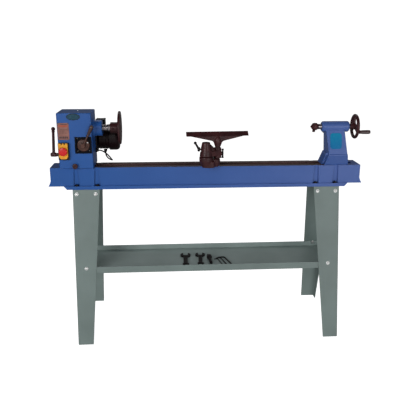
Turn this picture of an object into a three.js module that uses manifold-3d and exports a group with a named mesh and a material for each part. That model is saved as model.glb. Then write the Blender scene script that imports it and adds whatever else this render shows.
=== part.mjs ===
// A wood lathe on a sheet steel stand, in millimetres with +Z up.
// The headstock is at -X, the tailstock at +X and the operator stands at -Y.
// The origin is on the floor, under the middle of the whole machine.
import * as THREE from 'three';
import { mergeVertices } from 'three/addons/utils/BufferGeometryUtils.js';
import Module from 'manifold-3d';

const wasm = await Module();
wasm.setup();

// ---- Driving dimensions ----------------------------------------------------------------------

const GAP = 0.3; // left between pieces that touch

const BED_LENGTH = 1480;
const BED_WIDTH = 118;
const BED_TOP = 827; // height of the ways above the floor
const BED_DEPTH = 104;
const BED_END_DEPTH = 89; // the bed is shallower beyond the legs
const BED_FLARE = 12; // how far the foot of each bed end flares out
const BED_RIM = { height: 16, proud: 7 }; // flange along the foot of the bed
const WAY_THICKNESS = 16;
const WALL_THICKNESS = 15;
const SLOT = { width: 44, from: 60, to: 1450 };
const POCKET = { topWidth: 19, topDepth: 5, footWidth: 30, footDepth: 10, centres: [120, 216, 1264, 1360] };

const LEG_TOP = { outer: 99, inner: 226, y: 66.5 }; // x across the leg's face, y of its face
const LEG_FOOT = { outer: 108, inner: 180.5, y: 238 };
const LEG_FLANGE = 40;
const SHEET = 3.5;
const BRACKET = { depth: 48, thickness: 4, from: 104, to: 222 };
const TRAY = { floor: 332, top: 363, thickness: 2, from: 109 };

const AXIS_HEIGHT = 178; // spindle axis above the ways

const HEADSTOCK_X = 122; // swivel axis, from the bed's left end
const HEAD = { left: -74, right: 83, front: -75, back: 85, top: 256, wall: 8, floor: 26 };
const PIVOT = { radius: 46, groove: 36, height: 22, stem: 21 };
const BOSS = { radius: 37, length: 41 };
const FRONT_BEARING = { from: 97, to: 112, outer: 26, inner: 12.8 };
const REAR_BEARING = { from: -68, to: -54, outer: 23.5, inner: 10.3 };
const MOTOR = { y: 105, z: 117.5, radius: 58, coverRadius: 63, from: 89.6, joint: 144, to: 194 };
const PULLEY = { from: -32, to: 18, grooveFrom: -18, grooveTo: 4 };
const SPINDLE_PULLEY = { flange: 50, groove: 34 };
const MOTOR_PULLEY = { flange: 38, groove: 22.5 };
const BELT = { from: -16, to: 2, thickness: 9 };
const BELT_COVER = { left: -66, right: 70, back: 165, bottom: 22, top: 213, wall: 2.5 };
const FACEPLATE = { hubFrom: 161.3, discFrom: 199, face: 210, hub: 26, radius: 77 };
const WINDOW = { left: 9, right: 74, bottom: 77, top: 145 };
const SPEED = { x: 41.5, z: 107.5, hub: 29, tilt: 26.6 };
const SWITCH = { x: -47.5, width: 49, bottom: 43, top: 123 };
const FLAP = { width: 41, bottom: 49, top: 121 };
const LOCK_SHAFT_Z = 52;
const INDEX_PIN_Z = 13;

const REST_X = 743; // tool rest clamp bolt, from the bed's left end
const BANJO = { halfWidth: 34, front: -122, back: 52, top: 34 };
const ARM_PIVOT = { x: -16, y: -100 };
const SOCKET = { x: 40, y: -75, radius: 17.5, bottom: 45, top: 86 };
const ARM_LOCK_Z = 91;
const POST_LOCK_Z = 66;
const LOCK_SCREW = { radius: 4.5, hole: 5.2 };
const POST_RADIUS = 12.4;
const BLADE = { left: -147, right: 144, bottom: 149, top: 168, yaw: 3.9 };

const TAILSTOCK_X = 1361; // clamp bolt of the tailstock, from the bed's left end
const BARREL = { left: -70, right: 69, radius: 26 };
const QUILL = { radius: 13, left: -85, right: 40 };
const COLUMN_TOP = { left: -52, right: 40, y: 25, z: 165 };
const COLUMN_FOOT = { left: -37, right: 54, y: 55, z: 49 };
const WHEEL = { x: 96, rim: 52, section: 6, hub: 12, spoke: 5 };
const GRIP = { from: 102.6, to: 158.5, radius: 8, angle: 205 };

const CLAMP_PLATE = { half: 40, top: -16.3, bottom: -26.6 };
const CLAMP_BOLT = { radius: 7.5, head: 12 };

const RIGHT_END = TAILSTOCK_X + GRIP.to;
const MIDDLE_X = (RIGHT_END - BED_FLARE) / 2;

// ---- Finishes --------------------------------------------------------------------------------

function finish(color, roughness, metalness) {
  return new THREE.MeshStandardMaterial({ color, roughness, metalness });
}

const finishes = {
  bluePaint: finish(0x2f5a9b, 0.4, 0.0),
  legPaint: finish(0x70807a, 0.45, 0.0),
  darkIron: finish(0x3c2a28, 0.5, 0.3),
  blackPaint: finish(0x15110f, 0.45, 0.1),
  steel: finish(0xb9b9bb, 0.28, 1.0),
  castIron: finish(0x55504c, 0.5, 0.8),
  blackPlastic: finish(0x141414, 0.5, 0.0),
  yellowPlastic: finish(0xe9a53c, 0.4, 0.0),
  redPlastic: finish(0xc62329, 0.35, 0.0),
  greenPlastic: finish(0x1c8a4a, 0.35, 0.0),
  copperPlate: finish(0x9a6a58, 0.4, 0.6),
  badgeGreen: finish(0x0f4f55, 0.35, 0.2),
  tealPanel: finish(0x0078a6, 0.4, 0.0),
  rubber: finish(0x101010, 0.8, 0.0),
};

// ---- Shapes ----------------------------------------------------------------------------------

// Six times the signed volume, which is negative when the faces point inwards.
function signedVolume(geometry) {
  const position = geometry.getAttribute('position');
  const index = geometry.index;
  const count = index ? index.count : position.count;
  const corner = [new THREE.Vector3(), new THREE.Vector3(), new THREE.Vector3()];
  let total = 0;
  for (let i = 0; i < count; i += 3) {
    for (let k = 0; k < 3; k += 1) {
      corner[k].fromBufferAttribute(position, index ? index.getX(i + k) : i + k);
    }
    total += corner[0].dot(corner[1].clone().cross(corner[2]));
  }
  return total;
}

// Merges shared corners, drops flat triangles and turns the faces outwards.
function cleaned(geometry) {
  let bare = geometry.clone();
  bare.deleteAttribute('normal');
  bare.deleteAttribute('uv');
  bare = mergeVertices(bare, 1e-4);
  const inward = signedVolume(bare) < 0;
  const old = bare.index.array;
  const index = [];
  for (let i = 0; i < old.length; i += 3) {
    const [a, b, c] = [old[i], old[i + 1], old[i + 2]];
    if (a !== b && b !== c && c !== a) {
      index.push(a, ...(inward ? [c, b] : [b, c]));
    }
  }
  bare.setIndex(index);
  return bare;
}

function toSolid(geometry) {
  const bare = cleaned(geometry);
  return new wasm.Manifold(
    new wasm.Mesh({
      numProp: 3,
      vertProperties: new Float32Array(bare.getAttribute('position').array),
      triVerts: new Uint32Array(bare.index.array),
    }),
  );
}

function toGeometry(solid) {
  const mesh = solid.getMesh();
  const geometry = new THREE.BufferGeometry();
  geometry.setAttribute('position', new THREE.BufferAttribute(mesh.vertProperties, 3));
  geometry.setIndex(new THREE.BufferAttribute(mesh.triVerts, 1));
  return geometry;
}

function join(...shapes) {
  return toGeometry(shapes.map(toSolid).reduce((all, next) => all.add(next)));
}

function cut(shape, ...tools) {
  return toGeometry(tools.map(toSolid).reduce((left, tool) => left.subtract(tool), toSolid(shape)));
}

function common(a, b) {
  return toGeometry(toSolid(a).intersect(toSolid(b)));
}

function block(x0, x1, y0, y1, z0, z1) {
  const geometry = new THREE.BoxGeometry(x1 - x0, y1 - y0, z1 - z0);
  return geometry.translate((x0 + x1) / 2, (y0 + y1) / 2, (z0 + z1) / 2);
}

// A box whose foot and top are different rectangles { x0, x1, y0, y1, z }.
function taperedBlock(foot, top) {
  const geometry = new THREE.BoxGeometry(1, 1, 1);
  const position = geometry.getAttribute('position');
  for (let i = 0; i < position.count; i += 1) {
    const end = position.getZ(i) < 0 ? foot : top;
    const x = position.getX(i) < 0 ? end.x0 : end.x1;
    const y = position.getY(i) < 0 ? end.y0 : end.y1;
    position.setXYZ(i, x, y, end.z);
  }
  return geometry;
}

// Columns are the directions that a flat outline's two axes and its thickness point in.
const AXES = {
  x: new THREE.Matrix4().set(0, 0, 1, 0, 1, 0, 0, 0, 0, 1, 0, 0, 0, 0, 0, 1),
  y: new THREE.Matrix4().set(1, 0, 0, 0, 0, 0, 1, 0, 0, 1, 0, 0, 0, 0, 0, 1),
  z: new THREE.Matrix4(),
};

// An outline extruded along an axis: its points are (y, z), (x, z) or (x, y).
function prism(outline, axis, from, to, curveSegments = 2) {
  const shape = Array.isArray(outline)
    ? new THREE.Shape(outline.map(([a, b]) => new THREE.Vector2(a, b)))
    : outline;
  const geometry = new THREE.ExtrudeGeometry(shape, {
    depth: to - from,
    bevelEnabled: false,
    curveSegments,
  });
  return geometry.translate(0, 0, from).applyMatrix4(AXES[axis]);
}

function roundedRectangle(x0, x1, y0, y1, radius) {
  const shape = new THREE.Shape();
  const half = Math.PI / 2;
  shape.absarc(x1 - radius, y0 + radius, radius, -half, 0);
  shape.absarc(x1 - radius, y1 - radius, radius, 0, half);
  shape.absarc(x0 + radius, y1 - radius, radius, half, 2 * half);
  shape.absarc(x0 + radius, y0 + radius, radius, 2 * half, 3 * half);
  return shape;
}

// The outline of a belt drawn tight round two circles { a, b, r }.
function wrappedOutline(first, second) {
  const away = Math.atan2(second.b - first.b, second.a - first.a);
  const distance = Math.hypot(second.a - first.a, second.b - first.b);
  const open = Math.acos((first.r - second.r) / distance);
  const shape = new THREE.Shape();
  shape.absarc(first.a, first.b, first.r, away + open, away - open + 2 * Math.PI);
  shape.absarc(second.a, second.b, second.r, away - open, away + open);
  return shape;
}

// A profile of [radius, distance] turned about an axis through (a, b) of the other two axes.
function turned(profile, axis, a = 0, b = 0, segments = 16) {
  const points = profile.map(([radius, along]) => new THREE.Vector2(radius, along));
  const geometry = new THREE.LatheGeometry(points, segments);
  if (axis === 'x') {
    return geometry.rotateZ(-Math.PI / 2).translate(0, a, b);
  }
  if (axis === 'y') {
    return geometry.translate(a, 0, b);
  }
  return geometry.rotateX(Math.PI / 2).translate(a, b, 0);
}

function rod(radius, axis, from, to, a = 0, b = 0, segments = 16) {
  const profile = [[0, from], [radius, from], [radius, to], [0, to]];
  return turned(profile, axis, a, b, segments);
}

function ring(inner, outer, axis, from, to, a = 0, b = 0, segments = 16) {
  const profile = [[inner, from], [outer, from], [outer, to], [inner, to], [inner, from]];
  return turned(profile, axis, a, b, segments);
}

// A round bar between two points.
function bar(radius, start, end, segments = 8) {
  const along = new THREE.Vector3().subVectors(end, start);
  const geometry = new THREE.CylinderGeometry(radius, radius, along.length(), segments);
  const up = new THREE.Vector3(0, 1, 0);
  geometry.applyQuaternion(new THREE.Quaternion().setFromUnitVectors(up, along.clone().normalize()));
  const middle = start.clone().add(end).multiplyScalar(0.5);
  return geometry.translate(middle.x, middle.y, middle.z);
}

function ball(radius, centre) {
  return new THREE.SphereGeometry(radius, 8, 6).translate(centre.x, centre.y, centre.z);
}

function point(x, y, z) {
  return new THREE.Vector3(x, y, z);
}

function radians(degrees) {
  return THREE.MathUtils.degToRad(degrees);
}

// ---- The machine as a tree of groups -----------------------------------------------------------

const lathe = new THREE.Group();
lathe.position.x = -MIDDLE_X;

function group(parent, x, z) {
  const child = new THREE.Group();
  child.position.set(x, 0, z);
  parent.add(child);
  return child;
}

const stand = group(lathe, 0, 0);
const bedFrame = group(lathe, 0, BED_TOP);
const headstock = group(lathe, HEADSTOCK_X, BED_TOP);
const restFrame = group(lathe, REST_X, BED_TOP);
const tailstock = group(lathe, TAILSTOCK_X, BED_TOP);

function add(parent, name, material, geometry) {
  const mesh = new THREE.Mesh(cleaned(geometry), material);
  mesh.name = name;
  parent.add(mesh);
  return mesh;
}

// ---- Stand -------------------------------------------------------------------------------------

const LEG_HEIGHT = BED_TOP - BED_DEPTH;
const LEG_SLOPE = (LEG_FOOT.y - LEG_TOP.y) / LEG_HEIGHT;
const LEG_ANGLE = Math.atan(LEG_SLOPE);
const SHEET_ACROSS = SHEET / Math.cos(LEG_ANGLE);

// Half the stand's depth to the inner face of the sloping legs at a height.
function insideLegs(z) {
  return LEG_TOP.y - SHEET_ACROSS - GAP + (LEG_HEIGHT - z) * LEG_SLOPE;
}

// One leg: a tapered face plate with a flange folded along its outer edge, leaning outwards.
// It is drawn flat at the front left, and the other three are its mirror images.
function leg(mirrorX, mirrorY) {
  const over = 12;
  const length = LEG_HEIGHT / Math.cos(LEG_ANGLE);
  const outer = (s) => LEG_TOP.outer + ((LEG_FOOT.outer - LEG_TOP.outer) * s) / length;
  const inner = (s) => LEG_TOP.inner + ((LEG_FOOT.inner - LEG_TOP.inner) * s) / length;
  const ends = [-over, length + over];
  const face = prism(
    [
      [outer(ends[0]), -ends[0]],
      [inner(ends[0]), -ends[0]],
      [inner(ends[1]), -ends[1]],
      [outer(ends[1]), -ends[1]],
    ],
    'y',
    0,
    SHEET,
  );
  const flange = prism(
    [
      [outer(ends[0]), -ends[0]],
      [outer(ends[0]) + SHEET, -ends[0]],
      [outer(ends[1]) + SHEET, -ends[1]],
      [outer(ends[1]), -ends[1]],
    ],
    'y',
    0,
    LEG_FLANGE,
  );
  const leaning = join(face, flange).rotateX(-LEG_ANGLE).translate(0, -LEG_TOP.y, LEG_HEIGHT);
  const room = block(0, BED_LENGTH / 2, -BED_LENGTH, 0, 0, LEG_HEIGHT - GAP);
  const shape = common(leaning, room);
  if (mirrorX) {
    shape.scale(-1, 1, 1).translate(BED_LENGTH, 0, 0);
  }
  if (mirrorY) {
    shape.scale(1, -1, 1);
  }
  return cleaned(shape);
}

add(stand, 'leg_front_left', finishes.legPaint, leg(false, false));
add(stand, 'leg_front_right', finishes.legPaint, leg(true, false));
add(stand, 'leg_back_left', finishes.legPaint, leg(false, true));
add(stand, 'leg_back_right', finishes.legPaint, leg(true, true));

// A channel under the bed whose sides lean with the legs that are bolted to them.
function bracketOutline() {
  const top = LEG_HEIGHT - GAP;
  const foot = top - BRACKET.depth;
  const wall = BRACKET.thickness / Math.cos(LEG_ANGLE);
  const ceiling = top - BRACKET.thickness;
  const right = [
    [insideLegs(top), top],
    [insideLegs(foot), foot],
    [insideLegs(foot) - wall, foot],
    [insideLegs(ceiling) - wall, ceiling],
  ];
  const left = right.map(([y, z]) => [-y, z]).reverse();
  return [...right, ...left];
}

for (const [side, from] of [['left', BRACKET.from], ['right', BED_LENGTH - BRACKET.to]]) {
  const to = from + BRACKET.to - BRACKET.from;
  add(stand, `stand_bracket_${side}`, finishes.legPaint, prism(bracketOutline(), 'x', from, to));
}

// The tray's long edges lean with the legs, and its ends stand upright.
function trayOutline(inset) {
  const floor = TRAY.floor + inset;
  const top = TRAY.top + inset;
  return [
    [-insideLegs(floor) + inset, floor],
    [insideLegs(floor) - inset, floor],
    [insideLegs(top) - inset, top],
    [-insideLegs(top) + inset, top],
  ];
}

const trayOuter = prism(trayOutline(0), 'x', TRAY.from, BED_LENGTH - TRAY.from);
const trayInner = prism(
  trayOutline(TRAY.thickness),
  'x',
  TRAY.from + TRAY.thickness,
  BED_LENGTH - TRAY.from - TRAY.thickness,
);
add(stand, 'shelf_tray', finishes.legPaint, cut(trayOuter, trayInner));

// ---- Tools that lie in the tray ------------------------------------------------------------------

const TRAY_FLOOR = TRAY.floor + TRAY.thickness + GAP;

// An open-ended wrench lying along Y with its main jaw at the back.
function wrench(length, head, jaw, handle, thickness) {
  const middle = length / 2 - head;
  const shape = join(
    rod(head, 'z', 0, thickness, 0, middle, 16),
    rod(head * 0.62, 'z', 0, thickness, 0, -length / 2 + head * 0.62, 12),
    block(-handle / 2, handle / 2, -length / 2 + head * 0.62, middle, 0.8, thickness - 0.8),
  );
  const backJaw = block(-jaw / 2, jaw / 2, middle - head * 0.15, middle + head * 2, -1, thickness + 1);
  const frontEnd = -length / 2 + head * 0.75;
  const frontJaw = block(-jaw * 0.3, jaw * 0.3, frontEnd - head, frontEnd, -1, thickness + 1);
  return cut(shape, backJaw, frontJaw);
}

function layInTray(mesh, x, y, turn) {
  mesh.position.set(x, y, TRAY_FLOOR);
  mesh.rotation.z = radians(turn);
}

const wrenchLarge = add(stand, 'wrench_large', finishes.blackPaint, wrench(166, 26, 24, 21, 8));
layInTray(wrenchLarge, 631, -14, -1);
const wrenchSmall = add(stand, 'wrench_small', finishes.blackPaint, wrench(158, 25, 22, 19, 7));
layInTray(wrenchSmall, 706, -8, -2);

// The drive centre lies on its side: a toothed crown on a tapered shank.
const spurProfile = [
  [0, -46], [7, -46], [9.5, 22], [9.5, 26], [13, 26], [13, 46], [4, 46], [1, 56], [0, 56],
];
const spurNotch = (angle) => block(-3, 3, 5, 20, 38, 50).rotateZ(radians(angle));
const spur = cut(turned(spurProfile, 'z', 0, 0, 12), ...[0, 90, 180, 270].map(spurNotch));
const spurCentre = add(stand, 'spur_centre', finishes.blackPaint, spur.rotateX(-Math.PI / 2));
layInTray(spurCentre, 753, -42, 3);
spurCentre.position.z += 13;

// ---- Bed -----------------------------------------------------------------------------------------

// The bed's side view: shallow ends with a flared foot, and a deeper middle that the legs carry.
const bedSide = [
  [0, 0], [BED_LENGTH, 0], [BED_LENGTH, -62], [BED_LENGTH + BED_FLARE, -BED_END_DEPTH],
  [BED_LENGTH - 61, -BED_END_DEPTH], [BED_LENGTH - 74, -BED_DEPTH],
  [74, -BED_DEPTH], [61, -BED_END_DEPTH], [-BED_FLARE, -BED_END_DEPTH], [0, -62],
];

function bed() {
  const half = BED_WIDTH / 2;
  const body = prism(bedSide, 'y', -half, half);
  const rimHalf = half + BED_RIM.proud;
  const rim = common(
    prism(bedSide, 'y', -rimHalf, rimHalf),
    block(61, BED_LENGTH - 61, -rimHalf, rimHalf, -BED_DEPTH, -BED_DEPTH + BED_RIM.height),
  );
  const hollow = block(
    WALL_THICKNESS,
    BED_LENGTH - WALL_THICKNESS,
    -half + WALL_THICKNESS,
    half - WALL_THICKNESS,
    -BED_DEPTH - 1,
    -WAY_THICKNESS,
  );
  const slot = prism(
    roundedRectangle(SLOT.from, SLOT.to, -SLOT.width / 2, SLOT.width / 2, 12), 'z', -30, 1,
  );
  const pockets = POCKET.centres.flatMap((x) => [-1, 1].map((side) => {
    const outline = (width, depth, z) => {
      const [y0, y1] = [(half - depth) * side, (half + 1) * side].sort((a, b) => a - b);
      return { x0: x - width / 2, x1: x + width / 2, y0, y1, z };
    };
    return taperedBlock(
      outline(POCKET.footWidth, POCKET.footDepth, -BED_DEPTH + BED_RIM.height),
      outline(POCKET.topWidth, POCKET.topDepth, 1),
    );
  }));
  const shell = cut(join(body, rim), hollow, slot, ...pockets);
  const ribs = [300, 600, 880, 1180].map((x) => (
    block(x - 6, x + 6, -half + WALL_THICKNESS - 1, half - WALL_THICKNESS + 1, -BED_DEPTH, -58)
  ));
  return join(shell, ...ribs);
}

add(bedFrame, 'bed', finishes.bluePaint, bed());

// ---- Headstock -----------------------------------------------------------------------------------

// The pivot sits on the ways, with a stem down the slot and a groove that the index pin runs in.
const pivotProfile = [
  [0, -36], [PIVOT.stem - 6, -36], [PIVOT.stem - 6, -14], [PIVOT.stem, -14], [PIVOT.stem, GAP],
  [PIVOT.radius, GAP], [PIVOT.radius, 6], [PIVOT.groove, 6], [PIVOT.groove, 20],
  [PIVOT.radius, 20], [PIVOT.radius, PIVOT.height], [0, PIVOT.height],
];
add(headstock, 'headstock_pivot', finishes.castIron, turned(pivotProfile, 'z', 0, 0, 24));

function headstockCasting() {
  const { left, right, front, back, top, wall, floor } = HEAD;
  const outside = prism(roundedRectangle(left, right, front, back, 6), 'z', GAP, top);
  const inside = block(left + wall, right - wall, front + wall, back - wall, floor, top - wall);
  const rearOpening = block(-60, 64, back - wall - 1, back + 1, 30, 205);
  const boss = turned(
    [[0, right - 1], [BOSS.radius + 1, right - 1], [BOSS.radius, right + BOSS.length - 2],
      [BOSS.radius - 3, right + BOSS.length], [0, right + BOSS.length]],
    'x', 0, AXIS_HEIGHT, 24,
  );
  const rearSeat = rod(32, 'x', left + 1, left + wall + 16, 0, AXIS_HEIGHT);
  const frontSeat = rod(34, 'x', right - wall - 17, right - 1, 0, AXIS_HEIGHT);
  const shell = join(cut(outside, inside, rearOpening), boss, rearSeat, frontSeat);
  return cut(
    shell,
    rod(PIVOT.radius + 1, 'z', 0, floor + 1, 0, 0, 24),
    rod(FRONT_BEARING.outer + GAP, 'x', 40, FRONT_BEARING.to + GAP, 0, AXIS_HEIGHT),
    rod(20, 'x', 100, 130, 0, AXIS_HEIGHT),
    rod(REAR_BEARING.outer + GAP, 'x', REAR_BEARING.from - GAP, -40, 0, AXIS_HEIGHT),
    rod(13, 'x', left - 1, -60, 0, AXIS_HEIGHT),
    block(WINDOW.left, WINDOW.right, front - 1, front + wall + 1, WINDOW.bottom, WINDOW.top),
    rod(5 + GAP, 'y', front - 1, -40, 0, INDEX_PIN_Z, 12),
    rod(6 + GAP, 'x', left - 1, left + wall + 1, 0, LOCK_SHAFT_Z, 12),
  );
}

add(headstock, 'headstock_casting', finishes.bluePaint, headstockCasting());

function beltCover() {
  const { left, right, back, bottom, top, wall } = BELT_COVER;
  const front = HEAD.back + GAP;
  const inside = block(left + wall, right - wall, front - 1, back - wall, bottom + wall, top - wall);
  const outline = new THREE.Shape([
    new THREE.Vector2(left, front), new THREE.Vector2(right, front),
    new THREE.Vector2(right, back - 14), new THREE.Vector2(right - 14, back),
    new THREE.Vector2(left + 14, back), new THREE.Vector2(left, back - 14),
  ]);
  const corners = [[left, 1], [right, -1]].map(([x, turn]) => prism(
    [[x, back], [x + turn * 17, back], [x, back - 17]], 'z', bottom, top,
  ));
  const outside = prism(outline, 'z', bottom, top);
  return cut(outside, cut(inside, ...corners), rod(14, 'x', right - 5, right + 1, MOTOR.y, MOTOR.z));
}

add(headstock, 'rear_belt_cover', finishes.blackPaint, beltCover());

for (const [name, bearing] of [
  ['spindle_bearing_front', FRONT_BEARING],
  ['spindle_bearing_rear', REAR_BEARING],
]) {
  const { inner, outer, from, to } = bearing;
  add(headstock, name, finishes.steel, ring(inner, outer, 'x', from, to, 0, AXIS_HEIGHT));
}

const spindleProfile = [
  [0, -72], [10, -72], [10, -50], [12.5, -50], [12.5, 114], [15, 114], [15, 150],
  [17.5, 150], [17.5, 161], [12.5, 161], [12.5, 196], [0, 196],
];
add(headstock, 'spindle', finishes.steel, turned(spindleProfile, 'x', 0, AXIS_HEIGHT));

function pulley(bore, { flange, groove }, y, z) {
  const slant = 7;
  const profile = [
    [bore, PULLEY.from], [flange, PULLEY.from], [flange, PULLEY.grooveFrom - slant],
    [groove, PULLEY.grooveFrom], [groove, PULLEY.grooveTo], [flange, PULLEY.grooveTo + slant],
    [flange, PULLEY.to], [bore, PULLEY.to], [bore, PULLEY.from],
  ];
  return turned(profile, 'x', y, z);
}

const spindlePulley = pulley(12.5 + GAP, SPINDLE_PULLEY, 0, AXIS_HEIGHT);
add(headstock, 'spindle_pulley', finishes.castIron, spindlePulley);
add(headstock, 'motor_pulley', finishes.castIron, pulley(9.5 + GAP, MOTOR_PULLEY, MOTOR.y, MOTOR.z));

function driveBelt() {
  const circles = (extra) => [
    { a: 0, b: AXIS_HEIGHT, r: SPINDLE_PULLEY.groove + extra },
    { a: MOTOR.y, b: MOTOR.z, r: MOTOR_PULLEY.groove + extra },
  ];
  const outside = prism(wrappedOutline(...circles(GAP + BELT.thickness)), 'x', BELT.from, BELT.to, 8);
  const inside = prism(wrappedOutline(...circles(2 * GAP)), 'x', BELT.from - 1, BELT.to + 1, 8);
  return cut(outside, inside);
}

add(headstock, 'drive_belt', finishes.rubber, driveBelt());

function faceplate() {
  const { hubFrom, discFrom, face, hub, radius } = FACEPLATE;
  const bore = 12.5 + GAP;
  const profile = [
    [bore, hubFrom], [hub, hubFrom], [hub, discFrom - 4], [radius - 3, discFrom],
    [radius, discFrom + 2], [radius, face - 1.5], [radius - 1.5, face], [bore, face], [bore, hubFrom],
  ];
  const disc = turned(profile, 'x', 0, AXIS_HEIGHT, 28);
  const holes = [0, 1, 2, 3, 4, 5].map((n) => {
    const angle = (n * Math.PI) / 3;
    const y = 56 * Math.cos(angle);
    const z = AXIS_HEIGHT + 56 * Math.sin(angle);
    return rod(4, 'x', discFrom - 6, face + 1, y, z, 6);
  });
  return cut(disc, ...holes);
}

add(headstock, 'faceplate', finishes.darkIron, faceplate());

// The motor hangs behind the spindle on a plate that is bolted to the headstock's right wall.
const PLATE_FROM = HEAD.right + GAP;
const motorPlate = cut(
  prism(roundedRectangle(44, 168, 56, 180, 12), 'x', PLATE_FROM, MOTOR.from - GAP),
  rod(20, 'x', PLATE_FROM - 1, MOTOR.from, MOTOR.y, MOTOR.z),
);
add(headstock, 'motor_plate', finishes.blackPaint, motorPlate);

const motorProfile = [
  [10, MOTOR.from], [MOTOR.radius, MOTOR.from], [MOTOR.radius, MOTOR.joint], [0, MOTOR.joint],
  [0, 136], [10, 136], [10, MOTOR.from],
];
add(headstock, 'motor_body', finishes.blackPaint, turned(motorProfile, 'x', MOTOR.y, MOTOR.z, 24));

const coverFrom = MOTOR.joint + GAP;
const coverProfile = [
  [0, coverFrom], [MOTOR.coverRadius - 2, coverFrom], [MOTOR.coverRadius, coverFrom + 3],
  [MOTOR.coverRadius, MOTOR.to - 9], [MOTOR.coverRadius - 3, MOTOR.to - 3],
  [MOTOR.coverRadius - 9, MOTOR.to], [0, MOTOR.to],
];
add(headstock, 'motor_fan_cover', finishes.blackPaint, turned(coverProfile, 'x', MOTOR.y, MOTOR.z, 24));
add(headstock, 'motor_shaft', finishes.steel, rod(9.5, 'x', -36, 132, MOTOR.y, MOTOR.z));

const aroundMotor = rod(MOTOR.radius + GAP, 'x', 60, 160, MOTOR.y, MOTOR.z, 24);
add(headstock, 'terminal_box', finishes.blackPaint, cut(block(94, 131, 76, 134, 160, 214), aroundMotor));

// The motor's lead leaves a gland in the headstock wall and loops back up into the motor.
const WALL_GLAND = { y: 30, z: 66 };
const MOTOR_GLAND = { x: 123, y: 95 };
const wallGlandProfile = [
  [0, PLATE_FROM], [9, PLATE_FROM], [9, PLATE_FROM + 5], [7, PLATE_FROM + 7],
  [5, PLATE_FROM + 15], [0, PLATE_FROM + 15],
];
const wallGland = turned(wallGlandProfile, 'x', WALL_GLAND.y, WALL_GLAND.z, 12);
add(headstock, 'cable_gland_headstock', finishes.blackPlastic, wallGland);
const motorGlandProfile = [[0, 44], [5, 44], [7, 51], [8, 53], [8, 68], [0, 68]];
const motorGland = turned(motorGlandProfile, 'z', MOTOR_GLAND.x, MOTOR_GLAND.y, 12);
add(headstock, 'cable_gland_motor', finishes.blackPlastic, cut(motorGland, aroundMotor));

const CABLE_RADIUS = 2.8;
const CABLE_ROUTE = [
  [98.7, 30, 66], [109.3, 30, 64.4], [119.1, 30.2, 60], [127.9, 31, 53.9], [135.8, 32.4, 46.6],
  [142.6, 34.8, 38.7], [148.5, 38.6, 30.5], [153.1, 44.2, 22.6], [156, 52.1, 16.1], [157, 62, 12],
  [156, 69.8, 10.2], [152.7, 77.1, 9.1], [147.5, 83.3, 9.3], [141.2, 88, 11.2], [134.9, 91.2, 15],
  [129.5, 93.3, 20.7], [125.7, 94.4, 27.7], [123.6, 94.9, 35.5], [123, 95, 43.6],
];

function motorCable() {
  const path = new THREE.CatmullRomCurve3(CABLE_ROUTE.map(([x, y, z]) => point(x, y, z)));
  const section = new THREE.Shape();
  section.absarc(0, 0, CABLE_RADIUS, 0, 2 * Math.PI);
  return new THREE.ExtrudeGeometry(section, { steps: 17, curveSegments: 4, extrudePath: path });
}

add(headstock, 'motor_cable', finishes.rubber, motorCable());

// ---- Headstock controls ----------------------------------------------------------------------------

const INNER_FRONT = HEAD.front + HEAD.wall;
const speedPlate = cut(
  block(4, HEAD.right - HEAD.wall - GAP, INNER_FRONT + GAP, INNER_FRONT + 3, 71, 151),
  rod(6.5, 'y', -70, -60, SPEED.x, SPEED.z, 12),
);
add(headstock, 'speed_plate', finishes.blackPaint, speedPlate);

const leverDirection = point(Math.sin(radians(SPEED.tilt)), 0, Math.cos(radians(SPEED.tilt)));
const leverPoint = (reach, y) => (
  leverDirection.clone().multiplyScalar(reach).add(point(SPEED.x, y, SPEED.z))
);
const LEVER_Y = -86;
const LEVER_JOIN = 48; // where the grip starts along the lever

function speedLever() {
  const hubProfile = [
    [0, -40], [6, -40], [6, -67], [SPEED.hub, -67], [SPEED.hub, -71], [SPEED.hub - 4, -74],
    [11, -75], [11, -91], [9, -93], [0, -93],
  ];
  const hub = turned(hubProfile, 'y', SPEED.x, SPEED.z, 20);
  return join(hub, bar(3.5, leverPoint(0, LEVER_Y), leverPoint(LEVER_JOIN, LEVER_Y)));
}

add(headstock, 'speed_lever', finishes.darkIron, speedLever());

const gripProfile = [[0, 0], [4.5, 0], [5.5, 8], [8, 44], [7.5, 50], [5, 54], [0, 55.5]];
const gripShape = turned(gripProfile, 'z', 0, 0, 12);
const speedGrip = add(headstock, 'speed_lever_grip', finishes.blackPlastic, gripShape);
speedGrip.position.copy(leverPoint(LEVER_JOIN + GAP, LEVER_Y));
speedGrip.rotation.y = radians(SPEED.tilt);

const SWITCH_BACK = HEAD.front - GAP;
const SWITCH_FRONT = SWITCH_BACK - 11.7;
const switchLeft = SWITCH.x - SWITCH.width / 2;
const switchBase = prism(
  roundedRectangle(switchLeft, switchLeft + SWITCH.width, SWITCH.bottom, SWITCH.top, 3),
  'y', SWITCH_FRONT, SWITCH_BACK,
);
const START_Z = 104;
const startWell = rod(9.3, 'y', SWITCH_FRONT - 1, SWITCH_FRONT + 8.5, SWITCH.x, START_Z, 12);
add(headstock, 'switch_base', finishes.blackPlastic, cut(switchBase, startWell));
const startButton = rod(9, 'y', SWITCH_FRONT + 0.8, SWITCH_FRONT + 5, SWITCH.x, START_Z, 12);
add(headstock, 'start_button', finishes.greenPlastic, startButton);

// The flap hangs on a hinge along its top edge, which has notches like battlements.
const FLAP_BACK = SWITCH_FRONT - GAP;
const FLAP_FRONT = FLAP_BACK - 9;
const STOP_Z = 87;

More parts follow.
